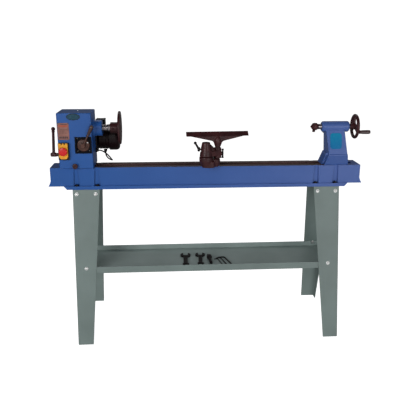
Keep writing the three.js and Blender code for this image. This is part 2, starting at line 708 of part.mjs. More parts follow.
function switchFlap() {
  const half = FLAP.width / 2;
  const { bottom, top } = FLAP;
  const notch = (x) => [[x - 3, top], [x - 1.5, top - 8], [x + 1.5, top - 8], [x + 3, top]];
  const outline = [
    [-half, bottom + 11], [-half + 8, bottom], [half - 8, bottom], [half, bottom + 11],
    [half, top], ...notch(6.5).reverse(), ...notch(-6.5).reverse(), [-half, top],
  ].map(([x, z]) => [x + SWITCH.x, z]);
  return cut(
    prism(outline, 'y', FLAP_FRONT, FLAP_BACK),
    rod(9, 'y', FLAP_FRONT - 1, FLAP_BACK + 1, SWITCH.x, STOP_Z, 12),
    block(SWITCH.x - 15, SWITCH.x + 15, FLAP_FRONT + 3, FLAP_BACK + 1, 93, 117),
  );
}

add(headstock, 'switch_flap', finishes.yellowPlastic, switchFlap());
const stopProfile = [
  [0, FLAP_BACK - 4.5], [8.6, FLAP_BACK - 4.5], [8.6, FLAP_FRONT - 4.5], [19, FLAP_FRONT - 4.5],
  [19, FLAP_FRONT - 10], [16, FLAP_FRONT - 13], [0, FLAP_FRONT - 14.5],
];
add(headstock, 'stop_button', finishes.redPlastic, turned(stopProfile, 'y', SWITCH.x, STOP_Z, 20));

const dataPlate = prism(roundedRectangle(-70.5, -18.5, 134.5, 212, 1.5), 'y', SWITCH_BACK - 1, SWITCH_BACK);
add(headstock, 'data_plate', finishes.copperPlate, dataPlate);
const badgeShape = new THREE.Shape();
badgeShape.absellipse(3, 239, 31, 15, 0, 2 * Math.PI);
add(headstock, 'oval_badge', finishes.badgeGreen, prism(badgeShape, 'y', SWITCH_BACK - 2, SWITCH_BACK, 20));

// A spring holds the index pin in; its knob is pulled towards the operator.
const pinProfile = [
  [0, -38.5], [4, -38.5], [5, -40], [5, HEAD.front - 1], [8, HEAD.front - 1], [13, HEAD.front - 5],
  [13, HEAD.front - 14], [10, HEAD.front - 17], [0, HEAD.front - 17.5],
];
add(headstock, 'index_pin', finishes.darkIron, turned(pinProfile, 'y', 0, INDEX_PIN_Z));

const LOCK_ROD_X = HEAD.left - 36;
const lockTop = point(LOCK_ROD_X, 0, LOCK_SHAFT_Z + 121);
const lockLever = join(
  rod(6, 'x', HEAD.left - 50, HEAD.left + 30, 0, LOCK_SHAFT_Z, 10),
  rod(9, 'x', HEAD.left - 48, HEAD.left - 22, 0, LOCK_SHAFT_Z, 12),
  bar(4.5, point(LOCK_ROD_X, 0, LOCK_SHAFT_Z), lockTop),
  ball(9, lockTop),
);
add(headstock, 'headstock_lock_lever', finishes.darkIron, lockLever);

// ---- Clamps under the ways ---------------------------------------------------------------------------

// A bolt up through the slot with a hexagon nut at the top, and a plate under the ways.
function addClamp(parent, name, seat, y) {
  const { radius, head } = CLAMP_BOLT;
  const bolt = join(
    rod(radius, 'z', -40, seat + 18, 0, y, 12),
    rod(head + 3, 'z', seat + GAP, seat + 3, 0, y, 12),
    rod(head, 'z', seat + 2.5, seat + 14, 0, y, 6),
    rod(head, 'z', -36, CLAMP_PLATE.bottom - GAP, 0, y, 6),
  );
  add(parent, `${name}_clamp_bolt`, finishes.steel, bolt);
  const { half, top, bottom } = CLAMP_PLATE;
  const plate = cut(
    block(-half, half, y - half, y + half, bottom, top),
    rod(radius + 1, 'z', bottom - 1, top + 1, 0, y, 12),
  );
  add(parent, `${name}_clamp_plate`, finishes.castIron, plate);
}

// ---- Tool rest ---------------------------------------------------------------------------------------

addClamp(restFrame, 'banjo', BANJO.top, 0);

function banjoBase() {
  const { halfWidth, front, back, top } = BANJO;
  const plate = prism(roundedRectangle(-halfWidth, halfWidth, front, back, 16), 'z', GAP, top);
  const seat = turned(
    [[0, 8], [24, 8], [31, 22], [31, 58], [0, 58]], 'z', ARM_PIVOT.x, ARM_PIVOT.y, 20,
  );
  const shoulder = turned(
    [[0, 10], [14, 10], [20, 24], [20, 40], [0, 40]], 'z', SOCKET.x - 12, SOCKET.y - 6, 14,
  );
  const pivot = rod(12, 'z', 50, 112, ARM_PIVOT.x, ARM_PIVOT.y, 12);
  const slot = prism(roundedRectangle(-9, 9, -40, 36, 8.9), 'z', -1, 60);
  const underFront = block(-60, 60, front - 1, -BED_WIDTH / 2 - BED_RIM.proud, -1, 6);
  return cut(join(plate, seat, shoulder, pivot), slot, underFront);
}

add(restFrame, 'banjo_base', finishes.darkIron, banjoBase());

function restArm() {
  const { x, y } = ARM_PIVOT;
  const tower = turned([[0, 58.3], [30, 58.3], [27, 80], [20, 126], [18, 128], [0, 128]], 'z', x, y, 20);
  const bridge = prism(
    wrappedOutline({ a: x, b: y, r: 24 }, { a: SOCKET.x, b: SOCKET.y, r: SOCKET.radius }), 'z', 58.3, 82, 5,
  );
  const socket = rod(SOCKET.radius, 'z', SOCKET.bottom, SOCKET.top, SOCKET.x, SOCKET.y);
  const lockBoss = rod(9, 'x', SOCKET.x, SOCKET.x + SOCKET.radius + 2, SOCKET.y, POST_LOCK_Z, 12);
  return cut(
    join(tower, bridge, socket, lockBoss),
    rod(12.8, 'z', 50, 112.5, x, y, 12),
    rod(POST_RADIUS + GAP, 'z', 40, 90, SOCKET.x, SOCKET.y),
    rod(LOCK_SCREW.hole, 'x', x - 40, x - 5, y, ARM_LOCK_Z, 8),
    rod(LOCK_SCREW.hole, 'x', SOCKET.x + 5, SOCKET.x + 30, SOCKET.y, POST_LOCK_Z, 8),
  );
}

add(restFrame, 'rest_arm', finishes.darkIron, restArm());

// The arm lock has a ball-ended lever that leans away from the tower.
const armLockHub = point(-49, ARM_PIVOT.y, ARM_LOCK_Z);
const armLockBall = point(-66, ARM_PIVOT.y, ARM_LOCK_Z + 29);
const armLock = join(
  rod(LOCK_SCREW.radius, 'x', -50, -31, ARM_PIVOT.y, ARM_LOCK_Z, 8),
  rod(9, 'x', -55, -43.5, ARM_PIVOT.y, ARM_LOCK_Z, 12),
  bar(3.5, armLockHub, armLockBall),
  ball(6.5, armLockBall),
);
add(restFrame, 'arm_lock_handle', finishes.blackPaint, armLock);

// The post lock has a sliding bar through its head.
const postLockX = SOCKET.x + SOCKET.radius + 2 + GAP;
const postLock = join(
  rod(LOCK_SCREW.radius, 'x', SOCKET.x + 13.5, postLockX + 2, SOCKET.y, POST_LOCK_Z, 8),
  rod(7, 'x', postLockX, postLockX + 8, SOCKET.y, POST_LOCK_Z, 10),
  rod(3, 'z', POST_LOCK_Z - 21, POST_LOCK_Z + 21, postLockX + 4, SOCKET.y, 8),
);
add(restFrame, 'post_lock_handle', finishes.blackPaint, postLock);

const collar = ring(POST_RADIUS + GAP, 17, 'z', SOCKET.top + GAP, SOCKET.top + 8, SOCKET.x, SOCKET.y);
add(restFrame, 'rest_collar', finishes.darkIron, collar);

// The blade leans towards the work, over a triangular web on the post.
function toolRest() {
  const { left, right, bottom, top } = BLADE;
  const web = prism(
    [[left + 14, bottom + 3], [-20, 126], [-13, 121], [15, 121], [22, 126], [right - 8, bottom + 3]],
    'y', -5, 5,
  );
  const blade = prism(
    [[-14, bottom], [2, bottom], [11, top - 5], [11, top - 1], [10, top], [5, top], [-4, bottom + 9]],
    'x', left, right,
  );
  const post = turned(
    [[0, 48], [POST_RADIUS, 48], [POST_RADIUS, 118], [15, 124], [13, 138], [0, 138]], 'z', 0, 0, 16,
  );
  return join(web, blade, post);
}

const rest = add(restFrame, 'tool_rest', finishes.darkIron, toolRest());
rest.position.set(SOCKET.x, SOCKET.y, 0);
rest.rotation.z = radians(BLADE.yaw);

// ---- Tailstock -----------------------------------------------------------------------------------------

addClamp(tailstock, 'tail', 20, 0);

function tailstockCasting() {
  const barrel = turned(
    [[0, BARREL.left], [BARREL.radius - 5, BARREL.left], [BARREL.radius, BARREL.left + 6],
      [BARREL.radius, BARREL.right - 6], [BARREL.radius - 5, BARREL.right], [0, BARREL.right]],
    'x', 0, AXIS_HEIGHT, 24,
  );
  const { left, right, y, z } = COLUMN_FOOT;
  const column = taperedBlock(
    { x0: left, x1: right, y0: -y, y1: y, z },
    { x0: COLUMN_TOP.left, x1: COLUMN_TOP.right, y0: -COLUMN_TOP.y, y1: COLUMN_TOP.y, z: COLUMN_TOP.z },
  );
  const foot = taperedBlock(
    { x0: -59, x1: 59, y0: -58, y1: 58, z: GAP },
    { x0: left - 2, x1: right + 1, y0: -57, y1: 57, z: z + 1 },
  );
  const toe = taperedBlock(
    { x0: -70, x1: 0, y0: -36, y1: 36, z: GAP },
    { x0: -47, x1: 0, y0: -36, y1: 36, z: 56 },
  );
  const boltBay = block(-24, 34, -24, 70, 20, 88);
  return cut(
    join(barrel, column, foot, toe),
    boltBay,
    rod(CLAMP_BOLT.radius + 1, 'z', -1, 21, 0, 0, 12),
    rod(QUILL.radius + GAP, 'x', BARREL.left - 1, 50, 0, AXIS_HEIGHT),
    rod(8 + GAP, 'x', 45, BARREL.right + 1, 0, AXIS_HEIGHT, 12),
    rod(5 + GAP, 'y', 5, BARREL.radius + 5, -40, AXIS_HEIGHT, 10),
  );
}

add(tailstock, 'tailstock_casting', finishes.bluePaint, tailstockCasting());

// The panel lies on the column's sloping front face.
const columnLean = Math.atan((COLUMN_FOOT.y - COLUMN_TOP.y) / (COLUMN_TOP.z - COLUMN_FOOT.z));
const PANEL = { x: -4, z: 113, width: 56, height: 76, thickness: 1.2 };
const panelShape = roundedRectangle(
  -PANEL.width / 2, PANEL.width / 2, -PANEL.height / 2, PANEL.height / 2, 9,
);
const panelGeometry = prism(panelShape, 'y', -PANEL.thickness - GAP, -GAP);
const panel = add(tailstock, 'tailstock_panel', finishes.tealPanel, panelGeometry);
const panelY = -COLUMN_TOP.y - (COLUMN_TOP.z - PANEL.z) * Math.tan(columnLean);
panel.position.set(PANEL.x, panelY, PANEL.z);
panel.rotation.x = -columnLean;

const quill = cut(
  rod(QUILL.radius, 'x', QUILL.left, QUILL.right, 0, AXIS_HEIGHT),
  rod(7, 'x', QUILL.left - 1, -50, 0, AXIS_HEIGHT, 12),
  rod(8 + GAP, 'x', -46, QUILL.right + 1, 0, AXIS_HEIGHT, 12),
);
add(tailstock, 'quill', finishes.steel, quill);

const CENTRE = { tip: -124.3, joint: -109.3, radius: 17.7 };
const centreProfile = [
  [0, CENTRE.joint + GAP], [CENTRE.radius, CENTRE.joint + GAP], [CENTRE.radius, -94], [11, -86],
  [11, QUILL.left - GAP], [6, QUILL.left - GAP], [5.6, -52], [0, -52],
];
const centreBody = join(
  turned(centreProfile, 'x', 0, AXIS_HEIGHT),
  rod(4.5, 'z', AXIS_HEIGHT - 25, AXIS_HEIGHT - 10, -104, 0, 8),
);
add(tailstock, 'live_centre_body', finishes.darkIron, centreBody);
const pointProfile = [
  [0, CENTRE.tip], [1.2, CENTRE.tip], [CENTRE.radius - 1.5, CENTRE.joint - 2],
  [CENTRE.radius - 1.5, CENTRE.joint], [0, CENTRE.joint],
];
add(tailstock, 'live_centre_point', finishes.darkIron, turned(pointProfile, 'x', 0, AXIS_HEIGHT));

const screw = turned(
  [[0, -40], [8, -40], [8, BARREL.right + 1], [5, BARREL.right + 1], [5, 96], [0, 96]],
  'x', 0, AXIS_HEIGHT, 12,
);
add(tailstock, 'lead_screw', finishes.steel, screw);

const gripY = (WHEEL.rim - 2) * Math.cos(radians(GRIP.angle));
const gripZ = AXIS_HEIGHT + (WHEEL.rim - 2) * Math.sin(radians(GRIP.angle));

// A dished wheel with three spokes and a pin that the grip turns on.
function handwheel() {
  const rim = new THREE.TorusGeometry(WHEEL.rim, WHEEL.section, 8, 28);
  rim.rotateY(Math.PI / 2).translate(WHEEL.x, 0, AXIS_HEIGHT);
  const hub = turned(
    [[0, BARREL.right + 1.3], [WHEEL.hub, BARREL.right + 1.3], [WHEEL.hub + 2, WHEEL.x - 8],
      [WHEEL.hub + 2, WHEEL.x + 4], [WHEEL.hub, WHEEL.x + 6], [0, WHEEL.x + 6]],
    'x', 0, AXIS_HEIGHT, 16,
  );
  const spokes = [0, 120, 240].map((turn) => {
    const angle = radians(GRIP.angle + turn);
    const end = point(WHEEL.x, WHEEL.rim * Math.cos(angle), AXIS_HEIGHT + WHEEL.rim * Math.sin(angle));
    return bar(WHEEL.spoke, point(WHEEL.x - 4, 0, AXIS_HEIGHT), end);
  });
  const pin = rod(3.2, 'x', WHEEL.x, GRIP.to - 1.5, gripY, gripZ, 8);
  return cut(join(rim, hub, ...spokes, pin), rod(5.5, 'x', 60, 96 + GAP, 0, AXIS_HEIGHT, 12));
}

add(tailstock, 'handwheel', finishes.darkIron, handwheel());

const handleProfile = [
  [3.5, GRIP.from], [GRIP.radius - 2, GRIP.from], [GRIP.radius, GRIP.from + 6],
  [GRIP.radius, GRIP.to - 4], [GRIP.radius - 3, GRIP.to], [3.5, GRIP.to], [3.5, GRIP.from],
];
add(tailstock, 'handwheel_grip', finishes.blackPlastic, turned(handleProfile, 'x', gripY, gripZ, 12));

// The quill lock is a screw in the back of the barrel with a short lever that points down.
const lockHub = point(-40, 38, AXIS_HEIGHT);
const lockEnd = point(-40, 62, AXIS_HEIGHT - 34);
const quillLock = join(
  rod(5, 'y', QUILL.radius + 1.2, 36, -40, AXIS_HEIGHT, 10),
  rod(8, 'y', BARREL.radius + 1, 42, -40, AXIS_HEIGHT, 12),
  bar(3.5, lockHub, lockEnd),
  ball(6.5, lockEnd),
);
add(tailstock, 'quill_lock', finishes.blackPaint, quillLock);

export default lathe;
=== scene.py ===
"""The looks of a wood lathe on a sheet steel stand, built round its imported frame.

Each piece is modelled in millimetres about the origin of its group: the stand, the bed, the headstock,
the tool rest or the tailstock. put() then moves it into the frame, in metres, and lets it ride on its body.
"""

import math

import bmesh
import bpy
from mathutils import Matrix, Vector


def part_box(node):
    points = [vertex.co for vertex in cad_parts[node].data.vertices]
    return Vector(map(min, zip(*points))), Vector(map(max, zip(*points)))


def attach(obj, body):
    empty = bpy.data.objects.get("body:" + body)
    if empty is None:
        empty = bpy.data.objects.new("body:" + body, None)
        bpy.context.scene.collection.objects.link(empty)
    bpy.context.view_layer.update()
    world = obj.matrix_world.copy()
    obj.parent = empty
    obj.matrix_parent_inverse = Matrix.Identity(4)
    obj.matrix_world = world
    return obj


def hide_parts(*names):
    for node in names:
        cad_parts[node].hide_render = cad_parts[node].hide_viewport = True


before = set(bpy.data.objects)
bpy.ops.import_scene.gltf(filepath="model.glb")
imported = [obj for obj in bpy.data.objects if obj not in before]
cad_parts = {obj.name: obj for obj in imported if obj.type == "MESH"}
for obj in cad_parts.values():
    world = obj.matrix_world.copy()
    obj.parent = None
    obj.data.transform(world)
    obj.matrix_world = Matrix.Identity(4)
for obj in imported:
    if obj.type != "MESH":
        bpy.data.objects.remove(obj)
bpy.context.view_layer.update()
scene = bpy.context.scene

# ---- The groups that the pieces are modelled in ----

MM = 0.001


def middle(node):
    low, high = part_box(node)
    return (low + high) / 2


BED_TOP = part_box("bed")[1].z
STAND = Vector((middle("bed").x, 0, 0))
BED = Vector((middle("bed").x, 0, BED_TOP))
HEAD = Vector((middle("headstock_pivot").x, 0, BED_TOP))
REST = Vector((middle("banjo_clamp_bolt").x, 0, BED_TOP))
TAIL = Vector((middle("tail_clamp_bolt").x, 0, BED_TOP))


def local_box(group, node):
    """The lowest and highest corner of a CAD node, in millimetres about a group's origin."""
    low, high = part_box(node)
    return (low - group) / MM, (high - group) / MM


AXIS = (middle("spindle").z - BED_TOP) / MM  # height of the spindle's axis above the ways
SPINDLE = ("x", 0, AXIS)  # the direction of an axis, and its places on the other two

# ---- Camera ----

CAMERA_PLACE = (-0.2037, -2.6751, 1.4074)
CAMERA_LENS, SENSOR_WIDTH = 48.33, 36.0  # millimetres
CAMERA_PITCH, CAMERA_YAW, CAMERA_ROLL = 16.89, 4.37, 0.32  # degrees down, to the right and clockwise


def make_camera():
    data = bpy.data.cameras.new("camera")
    data.lens, data.sensor_width = CAMERA_LENS, SENSOR_WIDTH
    data.clip_end = 60.0
    camera = bpy.data.objects.new("camera", data)
    scene.collection.objects.link(camera)
    camera.location = CAMERA_PLACE
    turn = Matrix.Rotation(math.radians(-CAMERA_YAW), 4, "Z")
    tilt = Matrix.Rotation(math.radians(90 - CAMERA_PITCH), 4, "X")
    roll = Matrix.Rotation(math.radians(CAMERA_ROLL), 4, "Z")
    camera.rotation_euler = (turn @ tilt @ roll).to_euler()
    scene.camera = camera


make_camera()

# ---- Material nodes ----

EDGE_WEAR = 0.0016  # how far paint wears back from an edge, in metres


def shade(red, green, blue):
    """A colour given as display values from 0 to 255, in the linear values that shaders use."""
    values = [v / 255 for v in (red, green, blue)]
    linear = [v / 12.92 if v <= 0.04045 else ((v + 0.055) / 1.055) ** 2.4 for v in values]
    return (*linear, 1.0)


def dimmed(colour, share):
    return tuple(v * share for v in colour)


class Look:
    """One material, whose nodes are added by short calls. Texture places are in metres."""

    def __init__(self, name, **sockets):
        self.material = bpy.data.materials.new(name)
        self.material.use_nodes = True
        self.tree = self.material.node_tree
        self.shader = self.tree.nodes["Principled BSDF"]
        self.place = self.node("ShaderNodeTexCoord").outputs["Object"]
        for socket, value in sockets.items():
            self.shader.inputs[socket.replace("_", " ").title().replace("Ior", "IOR")].default_value = value

    def node(self, kind, inputs=None, **settings):
        made = self.tree.nodes.new(kind)
        for key, value in settings.items():
            setattr(made, key, value)
        for key, value in (inputs or {}).items():
            if isinstance(value, bpy.types.NodeSocket):
                self.tree.links.new(value, made.inputs[key])
            else:
                made.inputs[key].default_value = value
        return made

    def drive(self, socket, value):
        self.tree.links.new(value, self.shader.inputs[socket])

    def stretched(self, x, y, z):
        """Texture places with each axis scaled, so that a texture runs long in one direction."""
        return self.node("ShaderNodeMapping", {"Vector": self.place, "Scale": (x, y, z)}).outputs[0]

    def noise(self, scale, detail=2.0, place=None):
        inputs = {"Vector": place or self.place, "Scale": scale, "Detail": detail}
        return self.node("ShaderNodeTexNoise", inputs).outputs[0]

    def cells(self, scale, feature="F1"):
        inputs = {"Vector": self.place, "Scale": scale}
        return self.node("ShaderNodeTexVoronoi", inputs, feature=feature).outputs[0]

    def spread(self, value, low, high, to_low, to_high):
        """Maps a value from one range to another, held at both ends."""
        inputs = {0: value, 1: low, 2: high, 3: to_low, 4: to_high}
        return self.node("ShaderNodeMapRange", inputs).outputs[0]

    def math(self, operation, a, b=0.0):
        return self.node("ShaderNodeMath", {0: a, 1: b}, operation=operation).outputs[0]

    def axis(self, letter):
        return self.node("ShaderNodeSeparateXYZ", {0: self.place}).outputs["XYZ".index(letter)]

    def blend(self, share, first, second):
        """A mix of two colours, each a socket or a display colour."""
        first, second = [shade(*c) if isinstance(c, tuple) else c for c in (first, second)]
        inputs = {0: share, 6: first, 7: second}
        return self.node("ShaderNodeMix", inputs, data_type="RGBA").outputs[2]

    def bump(self, height, distance, below=None):
        inputs = {"Height": height, "Distance": distance}
        if below is not None:
            inputs["Normal"] = below
        return self.node("ShaderNodeBump", inputs).outputs[0]

    def relief(self, *layers):
        """Bumps of noise, each of a scale, a detail and a height in metres, laid over one another."""
        normal = None
        for scale, detail, height in layers:
            normal = self.bump(self.noise(scale, detail), height, normal)
        self.drive("Normal", normal)

    def rough(self, scale, detail, low, high):
        """A roughness that wanders between two values."""
        self.drive("Roughness", self.spread(self.noise(scale, detail), 0.3, 0.7, low, high))

    def edges(self):
        """1 near edges and 0 on flats, broken up so that wear isn't even."""
        softened = self.node("ShaderNodeBevel", {"Radius": EDGE_WEAR}, samples=6).outputs[0]
        flat = self.node("ShaderNodeNewGeometry").outputs["Normal"]
        inputs = {0: softened, 1: flat}
        agree = self.node("ShaderNodeVectorMath", inputs, operation="DOT_PRODUCT").outputs["Value"]
        near = self.spread(agree, 0.995, 0.85, 0.0, 1.0)
        return self.math("MULTIPLY", near, self.spread(self.noise(90, 3), 0.42, 0.62, 0.0, 1.0))


def enamel(name, colour, deep, worn, roughness, gloss=0.3):
    """Sprayed enamel: a slow drift of colour, a fine peel, dust in the gloss and dull worn edges."""
    look = Look(name, coat_weight=0.06, coat_roughness=0.18, specular_ior_level=gloss)
    drift = look.spread(look.noise(5, 3), 0.35, 0.65, 0.0, 1.0)
    base = look.blend(drift, deep, colour)
    speck = look.spread(look.noise(700, 2), 0.60, 0.75, 0.0, 0.05)
    base = look.blend(speck, base, worn)
    edge = look.math("MULTIPLY", look.edges(), 0.45)
    look.drive("Base Color", look.blend(edge, base, worn))
    look.rough(40, 4, roughness - 0.05, roughness + 0.08)
    look.relief((420, 2, 0.000012), (28, 2, 0.000084))
    return look.material


def blue_enamel(name="blue_enamel", right=(78, 104, 170)):
    """The castings' blue, which drifts a little towards violet at the tailstock end."""
    look = Look(name, coat_weight=0.08, coat_roughness=0.16, specular_ior_level=0.3)
    along = look.spread(look.axis("X"), -0.6, 0.7, 0.0, 1.0)
    drift = look.spread(look.noise(6, 3), 0.3, 0.7, 0.0, 0.22)
    base = look.blend(drift, look.blend(along, (36, 88, 160), right), (32, 72, 138))
    edge = look.math("MULTIPLY", look.edges(), 0.4)
    base = look.blend(edge, base, (120, 140, 185))
    pit = look.spread(look.cells(260), 0.0, 0.12, 1.0, 0.0)
    look.drive("Base Color", look.blend(look.math("MULTIPLY", pit, 0.15), base, (30, 56, 106)))
    look.rough(35, 4, 0.28, 0.4)
    look.relief((300, 3, 0.000018), (22, 2, 0.00012))
    return look.material


def japanned_iron(name="japanned_iron", colour=(70, 34, 36), light=(118, 70, 66), roughness=0.34):
    """Dark red-brown japanning over a sand casting, rubbed lighter along its edges."""
    look = Look(name, coat_weight=0.04, coat_roughness=0.25, specular_ior_level=0.25)
    dark = dimmed(colour, 0.72)
    base = look.blend(look.spread(look.noise(26, 4), 0.35, 0.65, 0.0, 1.0), dark, colour)
    look.drive("Base Color", look.blend(look.math("MULTIPLY", look.edges(), 0.6), base, light))
    look.rough(60, 4, roughness - 0.08, roughness + 0.12)
    look.relief((520, 4, 0.00005), (70, 2, 0.0001))
    return look.material


STEEL_COLOUR = (158, 150, 152)


def bright_steel(name, axis, roughness=0.22):
    """Turned steel, whose fine rings run round one axis."""
    look = Look(name, metallic=1.0)
    along = look.math("MULTIPLY", look.axis(axis), 2600.0)
    rings = look.node("ShaderNodeTexNoise", {"W": along, "Scale": 1.0, "Detail": 3.0},
                      noise_dimensions="1D").outputs[0]
    stain = look.spread(look.noise(45, 4), 0.45, 0.75, 0.0, 0.5)
    look.drive("Base Color", look.blend(stain, STEEL_COLOUR, dimmed(STEEL_COLOUR, 0.72)))
    look.drive("Roughness", look.spread(rings, 0.3, 0.7, roughness - 0.06, roughness + 0.1))
    look.drive("Normal", look.bump(rings, 0.000006))
    return look.material


def zinc():
    """Zinc plated fasteners, with a faint crystal pattern."""
    look = Look("zinc_plate", metallic=1.0)
    spangle = look.cells(900, "SMOOTH_F1")
    look.drive("Base Color", look.blend(spangle, (214, 214, 210), (236, 236, 238)))
    look.drive("Roughness", look.spread(spangle, 0.0, 0.7, 0.26, 0.42))
    look.relief((900, 3, 0.000008))
    return look.material


def bare_iron():
    """Machined grey iron, dulled by oil, with the pores of the casting."""
    look = Look("bare_iron", metallic=0.85)
    look.drive("Base Color", look.blend(look.noise(30, 4), (70, 66, 64), (118, 114, 112)))
    look.rough(80, 4, 0.34, 0.55)
    pores = look.spread(look.cells(900), 0.0, 0.25, 0.0, 1.0)
    look.drive("Normal", look.bump(pores, 0.00002))
    return look.material


def oiled_ways():
    """The ground top of the bed: browned oil film over fine grinding lines that run along the bed."""
    look = Look("oiled_ways", specular_ior_level=0.35, coat_weight=0.08, coat_roughness=0.2)
    lines = look.noise(1.0, 4, place=look.stretched(14, 1500, 1500))
    film = look.spread(look.noise(1.0, 4, place=look.stretched(4, 30, 30)), 0.3, 0.7, 0.0, 1.0)
    base = look.blend(film, (50, 30, 31), (92, 66, 64))
    look.drive("Base Color", look.blend(look.spread(lines, 0.55, 0.8, 0.0, 0.35), base, (150, 128, 122)))
    look.drive("Roughness", look.spread(lines, 0.3, 0.7, 0.3, 0.46))
    look.drive("Normal", look.bump(lines, 0.00001))
    return look.material


def plastic(name, colour, roughness=0.36, texture=0.000012, coat=0.0):
    """Moulded plastic with a fine spark-eroded texture and a little dirt in its colour."""
    look = Look(name, coat_weight=coat, specular_ior_level=0.35)
    dirt = look.spread(look.noise(70, 4), 0.5, 0.8, 0.0, 0.8)
    look.drive("Base Color", look.blend(dirt, colour, dimmed(colour, 0.82)))
    look.rough(120, 3, roughness - 0.06, roughness + 0.1)
    look.relief((1600, 2, texture))
    return look.material


def rubber():
    look = Look("black_rubber", specular_ior_level=0.35)
    look.drive("Base Color", look.blend(look.noise(60, 4), (18, 17, 17), (38, 36, 36)))
    look.rough(200, 3, 0.5, 0.75)
    look.relief((1200, 2, 0.00002))
    return look.material


def etched_plate():
    """A coppery plate, brushed across and a little tarnished."""
    look = Look("etched_plate", metallic=0.25, coat_weight=0.08, coat_roughness=0.2, specular_ior_level=0.35)
    brushed = look.noise(1.0, 3, place=look.stretched(60, 60, 3000))
    tarnish = look.spread(look.noise(40, 5), 0.3, 0.7, 0.0, 1.0)
    look.drive("Base Color", look.blend(tarnish, (118, 80, 72), (152, 106, 96)))
    look.drive("Roughness", look.spread(brushed, 0.3, 0.7, 0.3, 0.45))
    look.drive("Normal", look.bump(brushed, 0.000005))
    return look.material


def teal_enamel(low, high):
    """The tailstock panel's bright enamel, with a painted highlight that makes it lighter towards its top
    edge.
    """
    look = Look("teal_enamel", coat_weight=0.05, coat_roughness=0.12, specular_ior_level=0.12)
    # painted highlight: the teal lightens upwards as if lit at the panel's top
    painted_glare = look.spread(look.axis("Z"), low, high, 0.0, 1.0)
    base = look.blend(painted_glare, (0, 108, 168), (0, 134, 176))
    cloud = look.spread(look.noise(45, 3), 0.35, 0.7, 0.0, 0.15)
    look.drive("Base Color", look.blend(cloud, base, (40, 150, 196)))
    look.rough(80, 3, 0.22, 0.34)
    look.relief((400, 2, 0.000012))
    return look.material


def pale_floor():
    """A white studio floor, which glows a little so that it meets the white backdrop with no horizon."""
    look = Look("pale_floor", specular_ior_level=0.0, emission_color=(1, 1, 1, 1), emission_strength=0.98)
    look.drive("Base Color", look.blend(look.noise(3, 3), (236, 236, 236), (242, 242, 242)))
    look.rough(30, 3, 0.75, 0.9)
    return look.material


BLUE = blue_enamel()
# A darker copy of the blue, painted on the tailstock's foot as shade.
SHADED_FOOT_BLUE = blue_enamel("foot_enamel_painted_shade", (40, 78, 150))
GREY = enamel("grey_enamel", (124, 139, 136), (114, 128, 125), (160, 170, 168), 0.4)
# A paler copy of the grey, painted on the tray's floor and back as bounce light.
PAINTED_LIGHT_TRAY_GREY = enamel("tray_enamel_painted_light", (164, 179, 176), (150, 165, 162), (180, 190, 188), 0.46)
IRON = japanned_iron()
DIAL = japanned_iron("turned_dial", (90, 60, 52), (150, 112, 96), 0.3)
BLACK = enamel("black_enamel", (24, 18, 20), (14, 10, 12), (70, 62, 62), 0.36, gloss=0.22)
MOTOR_BLACK = enamel("motor_enamel", (36, 18, 20), (20, 9, 11), (76, 54, 54), 0.4, gloss=0.14)
# Near-black with a navy tint; the tint is a painted blue reflection.
WINDOW_BLACK = enamel("window_enamel", (8, 12, 26), (4, 6, 16), (40, 44, 60), 0.5, gloss=0.08)
WAYS = oiled_ways()
STEEL = bright_steel("steel_turned_x", "X")
STEEL_UPRIGHT = bright_steel("steel_turned_z", "Z", roughness=0.32)
ZINC = zinc()
BARE_IRON = bare_iron()
PLASTIC = plastic("black_plastic", (26, 24, 26), 0.4)
GRIP = plastic("brown_grip", (60, 34, 34), 0.22, 0.000006, coat=0.5)
YELLOW = plastic("yellow_plastic", (244, 172, 44), 0.34)
RED = plastic("red_plastic", (214, 30, 30), 0.3, coat=0.06)
GREEN = plastic("green_plastic", (30, 140, 74), 0.32, coat=0.06)
ORANGE = plastic("orange_print", (170, 82, 60), 0.4)
PRINT = plastic("dark_print", (58, 38, 46), 0.45)
BADGE = plastic("badge_resin", (6, 66, 86), 0.24, 0.000004, coat=0.2)
BADGE_RIM = plastic("badge_rim", (4, 30, 44), 0.3, 0.000004, coat=0.1)
RUBBER = rubber()
PLATE = etched_plate()
PANEL = teal_enamel(*[corner.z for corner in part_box("tailstock_panel")])


# ---- Motor lead ----

LEAD_LENGTH, LEAD_DIAMETER = 0.170, 0.0064
LEAD_ROUTE = [  # millimetres about the headstock's origin, from the headstock's wall to the motor
    (98.7, 30, 66), (109.3, 30, 64.4), (119.1, 30.2, 60), (127.9, 31, 53.9), (135.8, 32.4, 46.6),
    (142.6, 34.8, 38.7), (148.5, 38.6, 30.5), (153.1, 44.2, 22.6), (156, 52.1, 16.1), (157, 62, 12),
    (156, 69.8, 10.2), (152.7, 77.1, 9.1), (147.5, 83.3, 9.3), (141.2, 88, 11.2), (134.9, 91.2, 15),
    (129.5, 93.3, 20.7), (125.7, 94.4, 27.7), (123.6, 94.9, 35.5), (123, 95, 43.6),
]


def flowing(points):
    """A smooth line through points, as a Catmull-Rom spline."""
    points = [Vector(p) for p in points]
    held = [2 * points[0] - points[1], *points, 2 * points[-1] - points[-2]]
    line, steps = [], 6
    for a, b, c, d in zip(held, held[1:], held[2:], held[3:]):
        for k in range(steps):
            t = k / steps
            bend = (2 * a - 5 * b + 4 * c - d) * t * t + (3 * b - a - 3 * c + d) * t ** 3
            line.append(0.5 * (2 * b + (c - a) * t + bend))
    return line + [points[-1]]


def motor_lead():
    """The motor's short lead, which is seen from end to end and sags between its two glands."""
    line = flowing([HEAD + Vector(p) * MM for p in LEAD_ROUTE])
    data = bpy.data.curves.new("motor_lead", "CURVE")
    data.dimensions = "3D"
    data.bevel_depth, data.bevel_resolution = LEAD_DIAMETER / 2, 6
    spline = data.splines.new("POLY")
    spline.points.add(len(line) - 1)
    for held, place in zip(spline.points, line):
        held.co = (*place, 1.0)
    spline.use_smooth = True
    data.materials.append(RUBBER)
    lead = bpy.data.objects.new("motor_lead", data)
    scene.collection.objects.link(lead)
    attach(lead, "headstock")
    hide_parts("motor_cable")


motor_lead()


# ---- Modelling in millimetres ----

